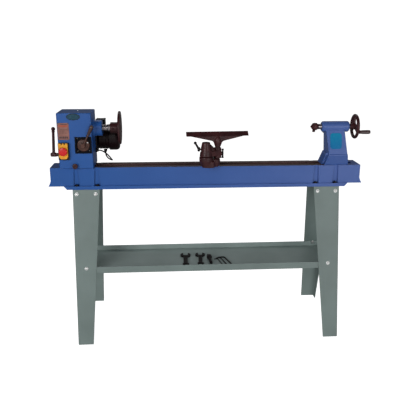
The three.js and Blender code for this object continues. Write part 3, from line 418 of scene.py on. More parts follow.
def new_object(mesh, name="shape"):
    """Links a bmesh to the scene as an object, with its faces turned outwards."""
    bmesh.ops.recalc_face_normals(mesh, faces=mesh.faces)
    data = bpy.data.meshes.new(name)
    mesh.to_mesh(data)
    mesh.free()
    made = bpy.data.objects.new(name, data)
    scene.collection.objects.link(made)
    return made


def rounded(points, radius, steps=3, closed=False):
    """A line of points with each corner turned into a short curve, of one radius or of a listed one."""
    points = [Vector(p) for p in points]
    radii = radius if isinstance(radius, (list, tuple)) else [radius] * len(points)
    result = []
    for i, (corner, radius) in enumerate(zip(points, radii)):
        before, after = points[i - 1] - corner, points[(i + 1) % len(points)] - corner
        ends = not closed and i in (0, len(points) - 1)
        if ends or radius <= 0 or before.angle(after, math.pi) > math.radians(172):
            result.append(corner)
            continue
        start = corner + before.normalized() * min(radius, 0.45 * before.length)
        stop = corner + after.normalized() * min(radius, 0.45 * after.length)
        for k in range(steps + 1):
            t = k / steps
            result.append(start * (1 - t) ** 2 + corner * 2 * t * (1 - t) + stop * t * t)
    return result


TIP = 1e-6  # a turned ring of a smaller radius than this is a single point


def spot(axis, along, a, b):
    """A point given by its distance along one axis and its places on the other two."""
    return {"x": (along, a, b), "y": (a, along, b), "z": (a, b, along)}[axis]


def skin(rings, looped=False):
    """A closed mesh through rings of points. A ring may be a single point, as at a tip."""
    mesh = bmesh.new()
    made = [[mesh.verts.new(p) for p in ring] for ring in rings]
    pairs = list(zip(made, made[1:] + made[:1])) if looped else list(zip(made, made[1:]))
    for low, high in pairs:
        for i in range(max(len(low), len(high))):
            corners = (low[i % len(low)], low[(i + 1) % len(low)], high[(i + 1) % len(high)],
                       high[i % len(high)])
            face = list(dict.fromkeys(corners))
            if len(face) > 2:
                mesh.faces.new(face)
    for cap in [] if looped else [made[0], made[-1]]:
        if len(cap) > 2:
            mesh.faces.new(cap)
    return new_object(mesh)


def turned(profile, axis="z", a=0.0, b=0.0, segments=64, soft=0.8, steps=3, reach=None):
    """A profile of (radius, distance along) turned round an axis through (a, b)."""
    looped = profile[0] == profile[-1]
    line = rounded(profile[:-1] if looped else profile, soft, steps, closed=looped)
    rings = []
    for radius, along in line:
        points = []
        for k in range(segments if radius > TIP else 1):
            angle = 2 * math.pi * k / segments
            out = reach(radius, angle) if reach else radius
            points.append(spot(axis, along, a + out * math.cos(angle), b + out * math.sin(angle)))
        rings.append(points)
    return skin(rings, looped)


def fluted(profile, axis, a, b, count, depth, beyond, soft=0.8):
    """Like turned(), with flutes round whatever reaches beyond a radius, as on a knurled knob."""

    def reach(radius, angle):
        return radius - (depth * (0.5 - 0.5 * math.cos(count * angle)) if radius > beyond else 0.0)

    return turned(profile, axis, a, b, 144, soft, reach=reach)


def rod(radius, start, end, axis="z", a=0.0, b=0.0, segments=48, soft=0.6):
    return turned([(0, start), (radius, start), (radius, end), (0, end)], axis, a, b, segments, soft)


def ring(inner, outer, start, end, axis="z", a=0.0, b=0.0, soft=0.6):
    profile = [(inner, start), (outer, start), (outer, end), (inner, end), (inner, start)]
    return turned(profile, axis, a, b, soft=soft)


def tapered(outline_a, outline_b, axis, start, end, soft=0.0, steps=4):
    """A solid between an outline of (a, b) points at each end, with rounded corners."""
    lines = [rounded(outline, soft, steps, closed=True) for outline in (outline_a, outline_b)]
    return skin([[spot(axis, along, p[0], p[1]) for p in line] for line, along in zip(lines, (start, end))])


def extruded(outline, axis, start, end, soft=0.0, steps=4):
    return tapered(outline, outline, axis, start, end, soft, steps)


def rectangle(a0, a1, b0, b1):
    return [(a0, b0), (a1, b0), (a1, b1), (a0, b1)]


def block(a0, a1, b0, b1, start, end, axis="z", soft=0.0, steps=4):
    """A box, whose four edges along an axis may be rounded."""
    outline = rectangle(a0, a1, b0, b1)
    return extruded(outline, axis, start, end, soft, steps)


def regular(sides, radius, a=0.0, b=0.0, turn=0.0):
    """The corners of a regular polygon."""
    angles = [math.radians(turn) + 2 * math.pi * k / sides for k in range(sides)]
    return [(a + radius * math.cos(t), b + radius * math.sin(t)) for t in angles]


def wrapped(first, second, count=24):
    """The outline of a belt drawn tight round two circles (a, b, radius)."""
    (a1, b1, r1), (a2, b2, r2) = first, second
    away = math.atan2(b2 - b1, a2 - a1)
    opening = math.acos((r1 - r2) / math.hypot(a2 - a1, b2 - b1))
    outline = []
    for a, b, r, start, stop in ((a1, b1, r1, away + opening, away - opening + 2 * math.pi),
                                 (a2, b2, r2, away - opening, away + opening)):
        angles = [start + (stop - start) * k / count for k in range(count + 1)]
        outline += [(a + r * math.cos(t), b + r * math.sin(t)) for t in angles]
    return outline


def turn(obj, degrees, axis):
    obj.data.transform(Matrix.Rotation(math.radians(degrees), 4, axis.upper()))
    return obj


def move(obj, x=0.0, y=0.0, z=0.0):
    obj.data.transform(Matrix.Translation((x, y, z)))
    return obj


def aim(obj, start, heading):
    """Turns a shape made along Z so that it starts at a point and runs along a heading."""
    turned_to = Vector(heading).to_track_quat("Z", "Y").to_matrix().to_4x4()
    obj.data.transform(Matrix.Translation(start) @ turned_to)
    return obj


def bar(radius, start, end):
    reach = Vector(end) - Vector(start)
    return aim(rod(radius, 0, reach.length, segments=32), start, reach)


def ball(radius, centre):
    steps = 16
    angles = [math.pi * k / steps for k in range(1, steps)]
    sides = [(radius * math.sin(t), -radius * math.cos(t)) for t in angles]
    return move(turned([(0, -radius), *sides, (0, radius)], segments=2 * steps, soft=0), *centre)


def swept(section, path):
    """A section of (a, b) points carried along a path without twisting."""
    path = [Vector(p) for p in path]
    across = (path[1] - path[0]).orthogonal().normalized()
    rings = []
    for i, place in enumerate(path):
        ahead = (path[min(i + 1, len(path) - 1)] - path[max(i - 1, 0)]).normalized()
        across = (across - ahead * across.dot(ahead)).normalized()
        up = ahead.cross(across)
        rings.append([place + across * a + up * b for a, b in section])
    return skin(rings)


def threaded(radius, pitch, axis, start, end, a=0.0, b=0.0, depth=None):
    """A rod with a real helical thread and chamfered ends."""
    depth = depth or 0.6 * pitch
    segments, count = 32, int((end - start) / (pitch / 6))
    rings = []
    for k in range(count + 1):
        along = start + (end - start) * k / count
        near_end = min(along - start, end - along)
        ring_points = []
        for i in range(segments):
            angle = 2 * math.pi * i / segments
            phase = (along / pitch - i / segments) % 1.0
            groove = depth * (1 - abs(2 * phase - 1))
            reach = radius - max(groove, depth * max(0.0, 1 - near_end / pitch))
            ring_points.append(spot(axis, along, a + reach * math.cos(angle), b + reach * math.sin(angle)))
        rings.append(ring_points)
    return skin(rings)


def applied(obj):
    """Applies an object's modifiers to its mesh."""
    graph = bpy.context.evaluated_depsgraph_get()
    data = bpy.data.meshes.new_from_object(obj.evaluated_get(graph))
    obj.modifiers.clear()
    old, obj.data = obj.data, data
    bpy.data.meshes.remove(old)
    return obj


def modified(obj, kind, **settings):
    modifier = obj.modifiers.new(kind.lower(), kind)
    for key, value in settings.items():
        setattr(modifier, key, value)
    return applied(obj)


def together(*objs):
    """Several separate shapes as one object."""
    first, mesh = objs[0], bmesh.new()
    for obj in objs:
        mesh.from_mesh(obj.data)
    mesh.to_mesh(first.data)
    mesh.free()
    for other in objs[1:]:
        bpy.data.objects.remove(other, do_unlink=True)
    return first


def boolean(first, others, operation):
    for other in others:
        first.modifiers.new("boolean", "BOOLEAN")
        first.modifiers[-1].object = other
        first.modifiers[-1].operation = operation
        first.modifiers[-1].solver = "EXACT"
    applied(first)
    for other in others:
        bpy.data.objects.remove(other, do_unlink=True)
    return first


def join(first, *others):
    return boolean(first, others, "UNION")


def cut(first, *others):
    return boolean(first, others, "DIFFERENCE")


def common(first, other):
    return boolean(first, [other], "INTERSECT")


def eased(obj, width, segments=2, angle=32):
    """Rounds every edge that is sharper than an angle."""
    return modified(obj, "BEVEL", width=width, segments=segments, limit_method="ANGLE",
                    angle_limit=math.radians(angle), use_clamp_overlap=True)


def cast(obj, voxel=1.4, rounds=6):
    """Melts a joined shape into one casting with soft fillets."""
    modified(obj, "REMESH", mode="VOXEL", voxel_size=voxel, use_smooth_shade=True)
    return modified(obj, "SMOOTH", factor=0.5, iterations=rounds)


ORIGINS = {"root": STAND}
for origin, bodies in (
        (HEAD, "headstock spindle rotor speed_lever index_pin headstock_lock"),
        (HEAD, "switch_flap stop_button start_button"),
        (REST, "banjo_clamp banjo rest_arm rest_collar tool_rest arm_lock post_lock"),
        (TAIL, "tailstock handwheel wheel_grip quill centre_point quill_lock")):
    ORIGINS.update(dict.fromkeys(bodies.split(), origin))


def put(obj, name, body, look, stands_for=None, group=None, sharp=38, weighted=True):
    """Moves a shape, or a list of them, into the frame as one piece that rides on a body."""
    obj = together(*obj) if isinstance(obj, list) else obj
    obj.name = obj.data.name = name
    obj.data.transform(Matrix.Translation(group or ORIGINS[body]) @ Matrix.Scale(MM, 4))
    obj.data.shade_smooth()
    obj.data.set_sharp_from_angle(angle=math.radians(sharp))
    if weighted:
        modified(obj, "WEIGHTED_NORMAL", keep_sharp=True, weight=90)
    if len(obj.data.materials) == 0:
        obj.data.materials.append(look)
    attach(obj, body)
    if stands_for:
        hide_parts(stands_for)


def paint_faces(obj, looks, choose):
    """Gives each face one of several materials: choose returns its place in the list."""
    for look in looks:
        obj.data.materials.append(look)
    for face in obj.data.polygons:
        face.material_index = choose(face)
    return obj


# ---- Fasteners ----

def hex_head(place, towards, across, height, washer=0.0):
    """A hexagon bolt head with chamfered corners, on its washer, standing on a surface."""
    radius = across / math.sqrt(3)
    head = extruded(regular(6, radius), "z", washer, washer + height)
    crown = turned([(0, washer - 1), (radius + 2, washer - 1), (radius + 2, washer + height * 0.72),
                    (across / 2 - 0.4, washer + height), (0, washer + height)], soft=0, segments=48)
    shape = common(head, crown)
    if washer:
        shape = together(shape, rod(radius + 2.2, 0, washer - 0.02, soft=0.3))
    return aim(shape, place, towards)


def dome_head(place, towards, radius, height):
    """A smooth carriage bolt head on a thin washer."""
    profile = [(0, 0), (radius + 1.6, 0), (radius + 1.6, 1.1), (radius, 1.1)]
    steps = 8
    for k in range(steps + 1):
        t = math.pi / 2 * k / steps
        profile.append((radius * math.cos(t) * 0.999, 1.3 + height * math.sin(t)))
    profile[-1] = (0, 1.3 + height)
    return aim(turned(profile, segments=32, soft=0.2), place, towards)


def pan_screw(place, towards, radius, height, turn_by=20):
    """A pan head screw with a cross recess."""
    profile = [(0, -0.4), (radius, -0.4), (radius, height * 0.55), (radius * 0.8, height), (0, height)]
    head = turned(profile, segments=28, soft=radius * 0.3)
    arm = radius * 0.62
    slots = [turn(block(-arm, arm, -radius * 0.1, radius * 0.1, height * 0.35, height + 1), angle, "z")
             for angle in (turn_by, turn_by + 90)]
    return aim(cut(head, *slots), place, towards)


def socket_screw(place, towards, radius, height):
    """A cap screw with a hexagon socket."""
    head = rod(radius, 0, height, segments=32, soft=0.5)
    socket = extruded(regular(6, radius * 0.55), "z", height * 0.45, height + 1)
    return aim(cut(head, socket), place, towards)


# ---- Stand ----

leg_low, leg_high = local_box(STAND, "leg_front_left")
tray_low, tray_high = local_box(STAND, "shelf_tray")
bed_low, bed_high = local_box(BED, "bed")
BED_HALF, BED_SIDE = 740.0, 59.0  # half its length and half its width, above the flare and the ledge
LEG_TOP = {"outer": 641.0, "inner": 514.0, "y": 66.5}  # x across a leg's face and y of its face
LEG_FOOT = {"outer": 632.0, "inner": 559.5, "y": -leg_low.y}
LEG_HEIGHT = leg_high.z
LEAN = (LEG_FOOT["y"] - LEG_TOP["y"]) / LEG_HEIGHT
SHEET, FLANGE = 3.5, 40.0  # thickness of a leg's plate, and depth of its folded edge
ACROSS = math.sqrt(1 + LEAN * LEAN)  # a sloping sheet measured level, over its own thickness


def leg_face(z):
    """How far the outer face of a leg is from the middle at a height."""
    return LEG_TOP["y"] + (LEG_HEIGHT - z) * LEAN


def leg(side_x, side_y):
    """A tapered plate folded once along its outer edge, with the sheet's bend radius."""
    rings = []
    for z in (0.0, LEG_HEIGHT):
        share = z / LEG_HEIGHT
        outer = LEG_FOOT["outer"] + (LEG_TOP["outer"] - LEG_FOOT["outer"]) * share
        inner = LEG_FOOT["inner"] + (LEG_TOP["inner"] - LEG_FOOT["inner"]) * share
        face, back = leg_face(z), leg_face(z) - FLANGE * ACROSS
        corners = [(inner, face), (outer, face), (outer, back), (outer - SHEET, back),
                   (outer - SHEET, face - SHEET * ACROSS), (inner, face - SHEET * ACROSS)]
        radii = [0.8, 6.5, 0.8, 0.8, 3.0, 0.8]
        line = rounded(corners, radii, 5, closed=True)
        rings.append([(side_x * p[0], side_y * p[1], z) for p in line])
    return eased(skin(rings), 0.5, 1, 50)


def leg_bolts(side_x, side_y):
    """Two bolts into the bracket and one into the tray, with their washers and nuts."""
    outwards = Vector((0, side_y, LEAN)).normalized()
    shapes = []
    for x, z, behind in ((621.5, 702.5, 8.0), (533.0, 702.5, 8.0), (584.0, 358.0, 6.2)):
        face = Vector((side_x * x, side_y * leg_face(z), z))
        shapes.append(dome_head(face, outwards, 6.6, 3.6))
        shapes.append(hex_head(face - outwards * behind, -outwards, 12.0, 5.0, 1.4))
    return together(*shapes)


def inside_legs(z):
    return leg_face(z) - SHEET * ACROSS - 0.3


def bracket(side_x):
    """A folded channel between the legs and the bed."""
    top, foot, wall = LEG_HEIGHT - 0.2, LEG_HEIGHT - 48.0, 4.0 * ACROSS
    half = [(inside_legs(top), top), (inside_legs(foot), foot), (inside_legs(foot) - wall, foot),
            (inside_legs(top - 4) - wall, top - 4)]
    outline = half + [(-y, z) for y, z in reversed(half)]
    radii = [6.0, 0.8, 0.8, 3.0, 3.0, 0.8, 0.8, 6.0]
    start, end = sorted((side_x * 636.0, side_x * 518.0))
    return eased(extruded(outline, "x", start, end, radii), 0.5, 1, 50)


def tray():
    """A folded tray with rounded bends, whose long edges lean with the legs."""
    floor, rim, end = tray_low.z, tray_high.z, tray_high.x
    mesh = bmesh.new()
    low = [mesh.verts.new((x, y, floor)) for x, y in rectangle(-end, end, tray_low.y, tray_high.y)]
    width = inside_legs(rim)
    high = [mesh.verts.new((x, y, rim)) for x, y in rectangle(-end, end, -width, width)]
    mesh.faces.new(low)
    for i in range(4):
        mesh.faces.new((low[i], low[(i + 1) % 4], high[(i + 1) % 4], high[i]))
    bends = [e for e in mesh.edges if len(e.link_faces) == 2]
    bmesh.ops.bevel(mesh, geom=bends, offset=4.0, segments=5, affect="EDGES", profile=0.5)
    shell = modified(new_object(mesh), "SOLIDIFY", thickness=2.0, offset=-1, use_even_offset=True)
    return eased(shell, 0.5, 2, 50)


for end_name, side_x in (("left", -1), ("right", 1)):
    put(bracket(side_x), f"bed_bracket_{end_name}", "root", GREY, f"stand_bracket_{end_name}")
    for face_name, side_y in (("front", -1), ("back", 1)):
        place = f"{face_name}_{end_name}"
        put(leg(side_x, side_y), f"{place}_leg", "root", GREY, f"leg_{place}")
        put(leg_bolts(side_x, side_y), f"{place}_leg_bolts", "root", ZINC)


def paler_by_painted_light(face):
    """Whether a face of the tray is its floor or the inside of its back, which get a paler grey as painted
    bounce light.
    """
    inside_back = face.center.y > 0 and face.normal.y < -0.7
    return int(face.area > 2e4 and (face.normal.z > 0.7 or inside_back))


tray_piece = paint_faces(tray(), [GREY, PAINTED_LIGHT_TRAY_GREY], paler_by_painted_light)
put(tray_piece, "tool_tray", "root", GREY, "shelf_tray")

# ---- Tools in the tray ----

TRAY_FLOOR = tray_low.z + 2.2


def wrench(length, head, jaw, handle, thickness):
    """An open-ended wrench along Y, with a hollowed handle and rounded forged edges."""
    far, near = length / 2 - head, -length / 2 + head * 0.62
    outline = rectangle(-handle / 2, handle / 2, near, far)
    shank = extruded(outline, "z", 0.6, thickness - 0.6)
    shape = join(shank, rod(head, 0, thickness, "z", 0, far, 48, 0),
                 rod(head * 0.62, 0, thickness, "z", 0, near, 40, 0))
    jaws = extruded([(-jaw / 2, far + head * 2), (-jaw / 2, far - head * 0.05),
                     (-jaw * 0.3, far - head * 0.3), (jaw * 0.3, far - head * 0.3),
                     (jaw / 2, far - head * 0.05), (jaw / 2, far + head * 2)], "z", -1, thickness + 1)
    small = jaw * 0.3
    small_jaws = block(-small, small, near - head * 2, near + head * 0.12, -1, thickness + 1)
    hollow = block(-handle * 0.28, handle * 0.28, near + head * 0.9, far - head * 1.1, thickness - 1.4,
                   thickness + 1, soft=4)
    return eased(cut(shape, jaws, small_jaws, hollow), 0.9, 2, 40)


for name, x, y, angle, size in (("large", -109, -14, -1, (166, 26, 24, 21, 8)),
                                ("small", -34, -8, -2, (158, 25, 22, 19, 7))):
    shape = move(turn(wrench(*size), angle, "z"), x, y, TRAY_FLOOR)
    put(shape, f"open_wrench_{name}", "root", BLACK, f"wrench_{name}")


def spur_drive():
    """A four-winged drive centre lying on its side, its tapered shank towards the front."""
    body = turned([(0, -46), (7, -46), (9.4, 20), (9.4, 26), (13, 27), (13, 46), (4, 46), (0.8, 56),
                   (0, 56.2)])
    wings = [turn(block(-3.2, 3.2, 4.6, 20, 37, 50), angle, "z") for angle in (0, 90, 180, 270)]
    return turn(eased(cut(body, *wings), 0.5, 2, 40), -90, "x")


put(move(turn(spur_drive(), 3, "z"), 13, -42, TRAY_FLOOR + 13), "spur_drive", "root", BLACK, "spur_centre")

HEX_KEYS = (  # size across flats, then x and y of the long arm's end, the corner and the short arm's end
    (4.0, (72, -90), (53, -6), (37, -14)),
    (5.0, (92, -88), (69, 5), (47, -3)),
    (6.0, (117, -90), (89, 12), (57, 6)),
)
for number, (flats, end, corner, tip) in enumerate(HEX_KEYS, 1):
    height = TRAY_FLOOR + flats / 2
    path = rounded([(*end, height), (*corner, height), (*tip, height)], 14, 10)
    straight = [path[0].lerp(path[1], t) for t in (0.0, 0.5)]
    key = swept(regular(6, flats / math.sqrt(3)), straight + path[1:])
    put(key, f"hex_key_{number}", "root", BLACK)


# ---- Bed ----

DEPTH, END_DEPTH = -bed_low.z, 89.0
RIM_HEIGHT, RIM_HALF = 16.0, bed_high.y
POCKETS = (-620.0, -524.0, 524.0, 620.0)
LEDGE = RIM_HEIGHT - DEPTH


def bed_outline():
    """The side view: shallow ends with a flared foot, and the deeper middle that the legs carry."""
    right = [(BED_HALF, 0), (BED_HALF, -62), (BED_HALF + 4, -74), (bed_high.x, -END_DEPTH),
             (BED_HALF - 61, -END_DEPTH), (BED_HALF - 74, -DEPTH)]
    return right + [(-x, z) for x, z in reversed(right)]


def bed():
    body = extruded(bed_outline(), "y", -BED_SIDE, BED_SIDE)
    middle_part = block(61 - BED_HALF, BED_HALF - 61, -RIM_HALF, RIM_HALF, -DEPTH, LEDGE)
    rim = common(extruded(bed_outline(), "y", -RIM_HALF, RIM_HALF), middle_part)
    hollow = block(15 - BED_HALF, BED_HALF - 15, -44, 44, -DEPTH - 1, -16)
    slot = block(60 - BED_HALF, 710, -22, 22, -30, 1, soft=16, steps=8)
    tools = [hollow, slot]
    for x in POCKETS:
        for side in (-1, 1):
            foot = rectangle(x - 15, x + 15, *sorted((side * 49, side * 70)))
            top = rectangle(x - 9.5, x + 9.5, *sorted((side * 54, side * 70)))
            tools.append(tapered(foot, top, "z", LEDGE, 1))
    tools += [block(-BED_HALF - 1, BED_HALF + 1, *sorted((side * 58.1, side * 62)), -4.5, 1)
              for side in (-1, 1)]
    shell = cut(join(body, rim), *tools)
    ribs = [block(x - 6, x + 6, -45, 45, -DEPTH + 0.5, -58) for x in (-440, -140, 140, 440)]
    return eased(join(shell, *ribs), 1.3, 2, 30)


# The ways stop 68 mm short of each end, where the darker blue top is painted shade.
WAYS_HALF = BED_HALF - 68


def divided(obj, *places):
    """Adds edges round a piece where planes across its length cut it."""
    mesh = bmesh.new()
    mesh.from_mesh(obj.data)
    for x in places:
        geometry = [*mesh.verts, *mesh.edges, *mesh.faces]
        bmesh.ops.bisect_plane(mesh, geom=geometry, plane_co=(x, 0, 0), plane_no=(1, 0, 0))
    mesh.to_mesh(obj.data)
    mesh.free()
    return obj


def bare(face):
    """Whether a face of the bed is machined: the ways and their slot, short of the ends, which keep the blue
    as painted shade.
    """
    on_top = face.center.z > -1.3 and face.normal.z > 0.5
    in_slot = abs(face.center.y) < 22.6 and face.center.z > -16.5
    return int(abs(face.center.x) < WAYS_HALF and (on_top or in_slot))


bed_piece = paint_faces(divided(bed(), -WAYS_HALF, WAYS_HALF), [BLUE, WAYS], bare)
put(bed_piece, "bed_casting", "root", BLUE, "bed", group=BED)
bed_bolts = [hex_head((x, side * 57.5, LEDGE), (0, 0, 1), 13.0, 6.0, 1.6) for x in POCKETS
             for side in (-1, 1)]
put(bed_bolts, "bed_bolts", "root", BLACK, group=BED)

# ---- Headstock ----

HEAD_FRONT, HEAD_BACK, HEAD_LEFT, HEAD_RIGHT, HEAD_TOP = -75.0, 85.0, -74.0, 83.0, 256.0
COVER_BACK = 165.0
PIN_Z, LOCK_Z = 13.0, 52.0  # heights of the index pin and of the headstock lock
WALL_GLAND, MOTOR_GLAND = (30, 66), (123, 95)  # y and z in the wall, and x and y under the motor
MOTOR_PLATE_FACE, LID_TOP = 89.3, 206.0
WALL = 8.0
WINDOW = (9, 74, 77, 145)  # left, right, bottom and top
MOTOR_Y = middle("motor_shaft").y / MM
MOTOR_Z = (middle("motor_shaft").z - BED_TOP) / MM
MOTOR = ("x", MOTOR_Y, MOTOR_Z)


def motor_cylinder():
    """The motor's outside, to trim what is mounted on it."""
    return rod(58.3, 60, 160, *MOTOR, 96, 0)


def headstock_casting():
    """The hollow casting: seats for the bearings, a boss at the nose and openings in front and behind."""
    outline = rectangle(HEAD_LEFT, HEAD_RIGHT, HEAD_FRONT, HEAD_BACK)
    outside = eased(extruded(outline, "z", 0.3, HEAD_TOP, soft=9), 4.0, 4, 60)
    inside = block(HEAD_LEFT + WALL, HEAD_RIGHT - WALL, HEAD_FRONT + WALL, HEAD_BACK - WALL, 26,
                   HEAD_TOP - WALL)
    behind = block(-60, 64, HEAD_BACK - 9, HEAD_BACK + 1, 30, 205)
    flare = [(0, 81), (50, 81), (43, 84), (39, 88.5), (37.4, 95), (36.8, 122), (34.5, 124), (0, 124)]
    boss = turned(flare, *SPINDLE, 96, soft=1.6)
    rear_seat = rod(32, HEAD_LEFT + 2, HEAD_LEFT + WALL + 16, *SPINDLE)
    front_seat = rod(34, HEAD_RIGHT - WALL - 17, HEAD_RIGHT - 2, *SPINDLE)
    shell = join(cut(outside, inside, behind), boss, rear_seat, front_seat)
    window = block(*WINDOW, HEAD_FRONT - 1, HEAD_FRONT + WALL + 1, "y", soft=2.5)
    bores = [
        rod(47, 0, 27, segments=64, soft=0),
        rod(26.3, 40, 112.3, *SPINDLE, 64, 0),
        rod(20, 100, 130, *SPINDLE, 64, 0),
        rod(23.8, -68.3, -40, *SPINDLE, 64, 0),
        rod(13, HEAD_LEFT - 1, -60, *SPINDLE, 48, 0),
        rod(5.3, HEAD_FRONT - 1, -40, "y", 0, PIN_Z, 32, 0),
        rod(6.3, HEAD_LEFT - 1, -64, "x", 0, LOCK_Z, 32, 0),
    ]
    return eased(cut(shell, window, *bores), 0.9, 2, 40)


put(headstock_casting(), "headstock_housing", "headstock", BLUE, "headstock_casting", sharp=42)
put(socket_screw((12.5, 13.3, HEAD_TOP), (0, 0, 1), 4.2, 2.6), "headstock_top_screw", "headstock", ZINC)
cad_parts["headstock_pivot"].data.materials[0] = BARE_IRON


def belt_cover():
    """A pressed cover over the belt drive, with louvres in its back."""
    left, right, front, back, bottom, top = -66, 70, HEAD_BACK + 0.3, COVER_BACK, 22, 213
    corner, sheet, seen = 14, 2.5, range(120, 190, 12)
    outline = [(left, front), (right, front), (right, back - corner), (right - corner, back),
               (left + corner, back), (left, back - corner)]
    inner = [(left + sheet, front - 1), (right - sheet, front - 1), (right - sheet, back - corner - 1),
             (right - corner - 1, back - sheet), (left + corner + 1, back - sheet),
             (left + sheet, back - corner - 1)]
    shell = eased(extruded(outline, "z", bottom, top, soft=3), 2.5, 3, 50)
    hoods = [extruded([(back - 1, z + 6.6), (back + 3.4, z + 3.2), (back + 3.4, z + 2.0),
                       (back - 1, z + 5.2)], "x", -36, 40) for z in seen]
    slots = [block(-34, 38, z, z + 5, back - 5, back + 0.5, "y", soft=2.4) for z in seen]
    hollow = extruded(inner, "z", bottom + sheet, top - sheet)
    shaft_hole = rod(14, right - 5, right + 1, *MOTOR)
    return eased(cut(join(shell, *hoods), hollow, shaft_hole, *slots), 0.4, 1, 50)


put(belt_cover(), "belt_guard", "headstock", BLACK, "rear_belt_cover")
cover_screws = [pan_screw((x, COVER_BACK, z), (0, 1, 0), 4.0, 2.4, 30) for x in (-44, 48) for z in (34, 201)]
put(cover_screws, "belt_guard_screws", "headstock", ZINC)


def bearing(start, end, outer, inner):
    """Outer ring, inner ring and a set-back seal between them."""
    width = outer - inner
    seal_outer, seal_inner = outer - width * 0.25, inner + width * 0.28
    return together(ring(seal_outer, outer, start, end, *SPINDLE, soft=0.8),
                    ring(seal_inner + 0.2, seal_outer - 0.2, start + 0.9, end - 0.9, *SPINDLE, soft=0.3),
                    ring(inner, seal_inner, start, end, *SPINDLE, soft=0.8))


put(bearing(97, 112, 26, 12.8), "front_bearing", "headstock", STEEL, "spindle_bearing_front")
put(bearing(-68, -54, 23.5, 10.3), "rear_bearing", "headstock", STEEL, "spindle_bearing_rear")


def spindle():
    """The turned spindle, with a bearing shoulder, a register collar with flats and a threaded nose."""
    profile = [(0, -72), (10, -72), (10, -50), (12.5, -50), (12.5, 113), (15, 113.4), (15, 128), (14.4, 129),
               (14.4, 131), (15, 132), (15, 148), (17.5, 150), (17.5, 161), (11.4, 161), (11.4, 163),
               (0, 163)]
    shaft = turned(profile, *SPINDLE, 64, soft=0.9)
    flats = [block(152.5, 158.5, *sorted((side * 15.6, side * 19)), AXIS - 12, AXIS + 12) for side in (-1, 1)]
    nose = threaded(12.4, 3.5, "x", 162.5, 196, 0, AXIS, depth=1.3)
    return together(eased(cut(shaft, *flats), 0.3, 2, 50), nose)


put(spindle(), "main_spindle", "spindle", STEEL, "spindle")


def sheave(bore, flange, groove, y, z):
    """A pulley with a flat-bottomed groove."""
    profile = [(bore, -32), (flange, -32), (flange, -25), (groove, -18), (groove, 4), (flange, 11),
               (flange, 18), (bore, 18), (bore, -32)]
    return turned(profile, "x", y, z, 72, soft=1.0)


put(sheave(12.8, 50, 34, 0, AXIS), "spindle_sheave", "spindle", BARE_IRON, "spindle_pulley")
put(sheave(9.8, 38, 22.5, MOTOR_Y, MOTOR_Z), "motor_sheave", "rotor", BARE_IRON, "motor_pulley")


def drive_belt():
    """A belt with teeth moulded across its inner face."""
    line = [Vector(p) for p in wrapped((0, AXIS, 34.4), (MOTOR_Y, MOTOR_Z, 22.9), 40)]
    rings = []
    for i, place in enumerate(line):
        ahead = (line[(i + 1) % len(line)] - line[i - 1]).normalized()
        out = Vector((ahead.y, -ahead.x))
        inner, outer = place + out * (1.8 if i % 2 else 0.4), place + out * 8.6
        rings.append([(-16, *inner), (2, *inner), (2, *outer), (-16, *outer)])
    return skin(rings, looped=True)


put(drive_belt(), "toothed_belt", "headstock", RUBBER, "drive_belt", weighted=False)


def faceplate():
    """The faceplate: a dished back, countersunk screw holes and turning rings on its face."""
    back = [(12.8, 161.3), (24.5, 161.3), (26, 163), (26, 192), (29, 195.2), (34, 196.2), (71, 198.6),
            (76, 200.2), (77, 202.2), (77, 208), (75.4, 209.8), (70.5, 210)]
    face = [(69, 209.4), (67.5, 210), (42, 210), (41, 209.5), (40, 210), (21, 210), (20, 209.6),
            (12.8, 209.6)]
    disc = turned(back + face + back[:1], *SPINDLE, 112, soft=0.7)
    hole = [(0, 190), (7.4, 190), (7.4, 199.4), (4, 202.6), (4, 214), (0, 214)]
    holes = [turned(hole, "x", y, z, 32, soft=0) for y, z in regular(6, 56, 0, AXIS)]
    bar_holes = [rod(4, *sorted((side * 14, side * 30)), "y", 176, AXIS, 24, 0) for side in (-1, 1)]
    return eased(cut(disc, *holes, *bar_holes), 0.35, 2, 50)


put(faceplate(), "turning_faceplate", "spindle", IRON, "faceplate")

# ---- Motor ----

PLATE_BOLTS = [(y, z) for y in (56, 156) for z in (80, 156)]


def motor_plate():
    """The motor's mounting plate, whose bolts sit in slots so that the belt can be drawn tight."""
    plate = block(44, 168, 56, 180, HEAD_RIGHT + 0.3, MOTOR_PLATE_FACE, "x", soft=18, steps=8)
    slots = [block(y - 5, y + 5, z - 11, z + 11, 80, 92, "x", soft=4.8, steps=6) for y, z in PLATE_BOLTS]
    return eased(cut(plate, rod(20, 80, 92, *MOTOR), *slots), 0.7, 2, 50)


put(motor_plate(), "motor_mounting_plate", "headstock", BLACK, "motor_plate")
plate_bolts = [hex_head((MOTOR_PLATE_FACE, y, z), (1, 0, 0), 13, 5.5, 1.6) for y, z in PLATE_BOLTS if z < 100]
put(plate_bolts, "motor_plate_bolts", "headstock", BLACK)

shell_profile = [(10, 89.6), (44, 89.6), (50, 91), (54, 96), (56.8, 98), (58, 99), (58, 103), (56.6, 104.5),
                 (56.6, 129), (58, 130.5), (58, 134.5), (56.6, 136), (56.6, 141), (55, 144), (10, 144),
                 (10, 89.6)]
put(turned(shell_profile, *MOTOR, 96, soft=1.0), "motor_shell", "headstock", MOTOR_BLACK, "motor_body")


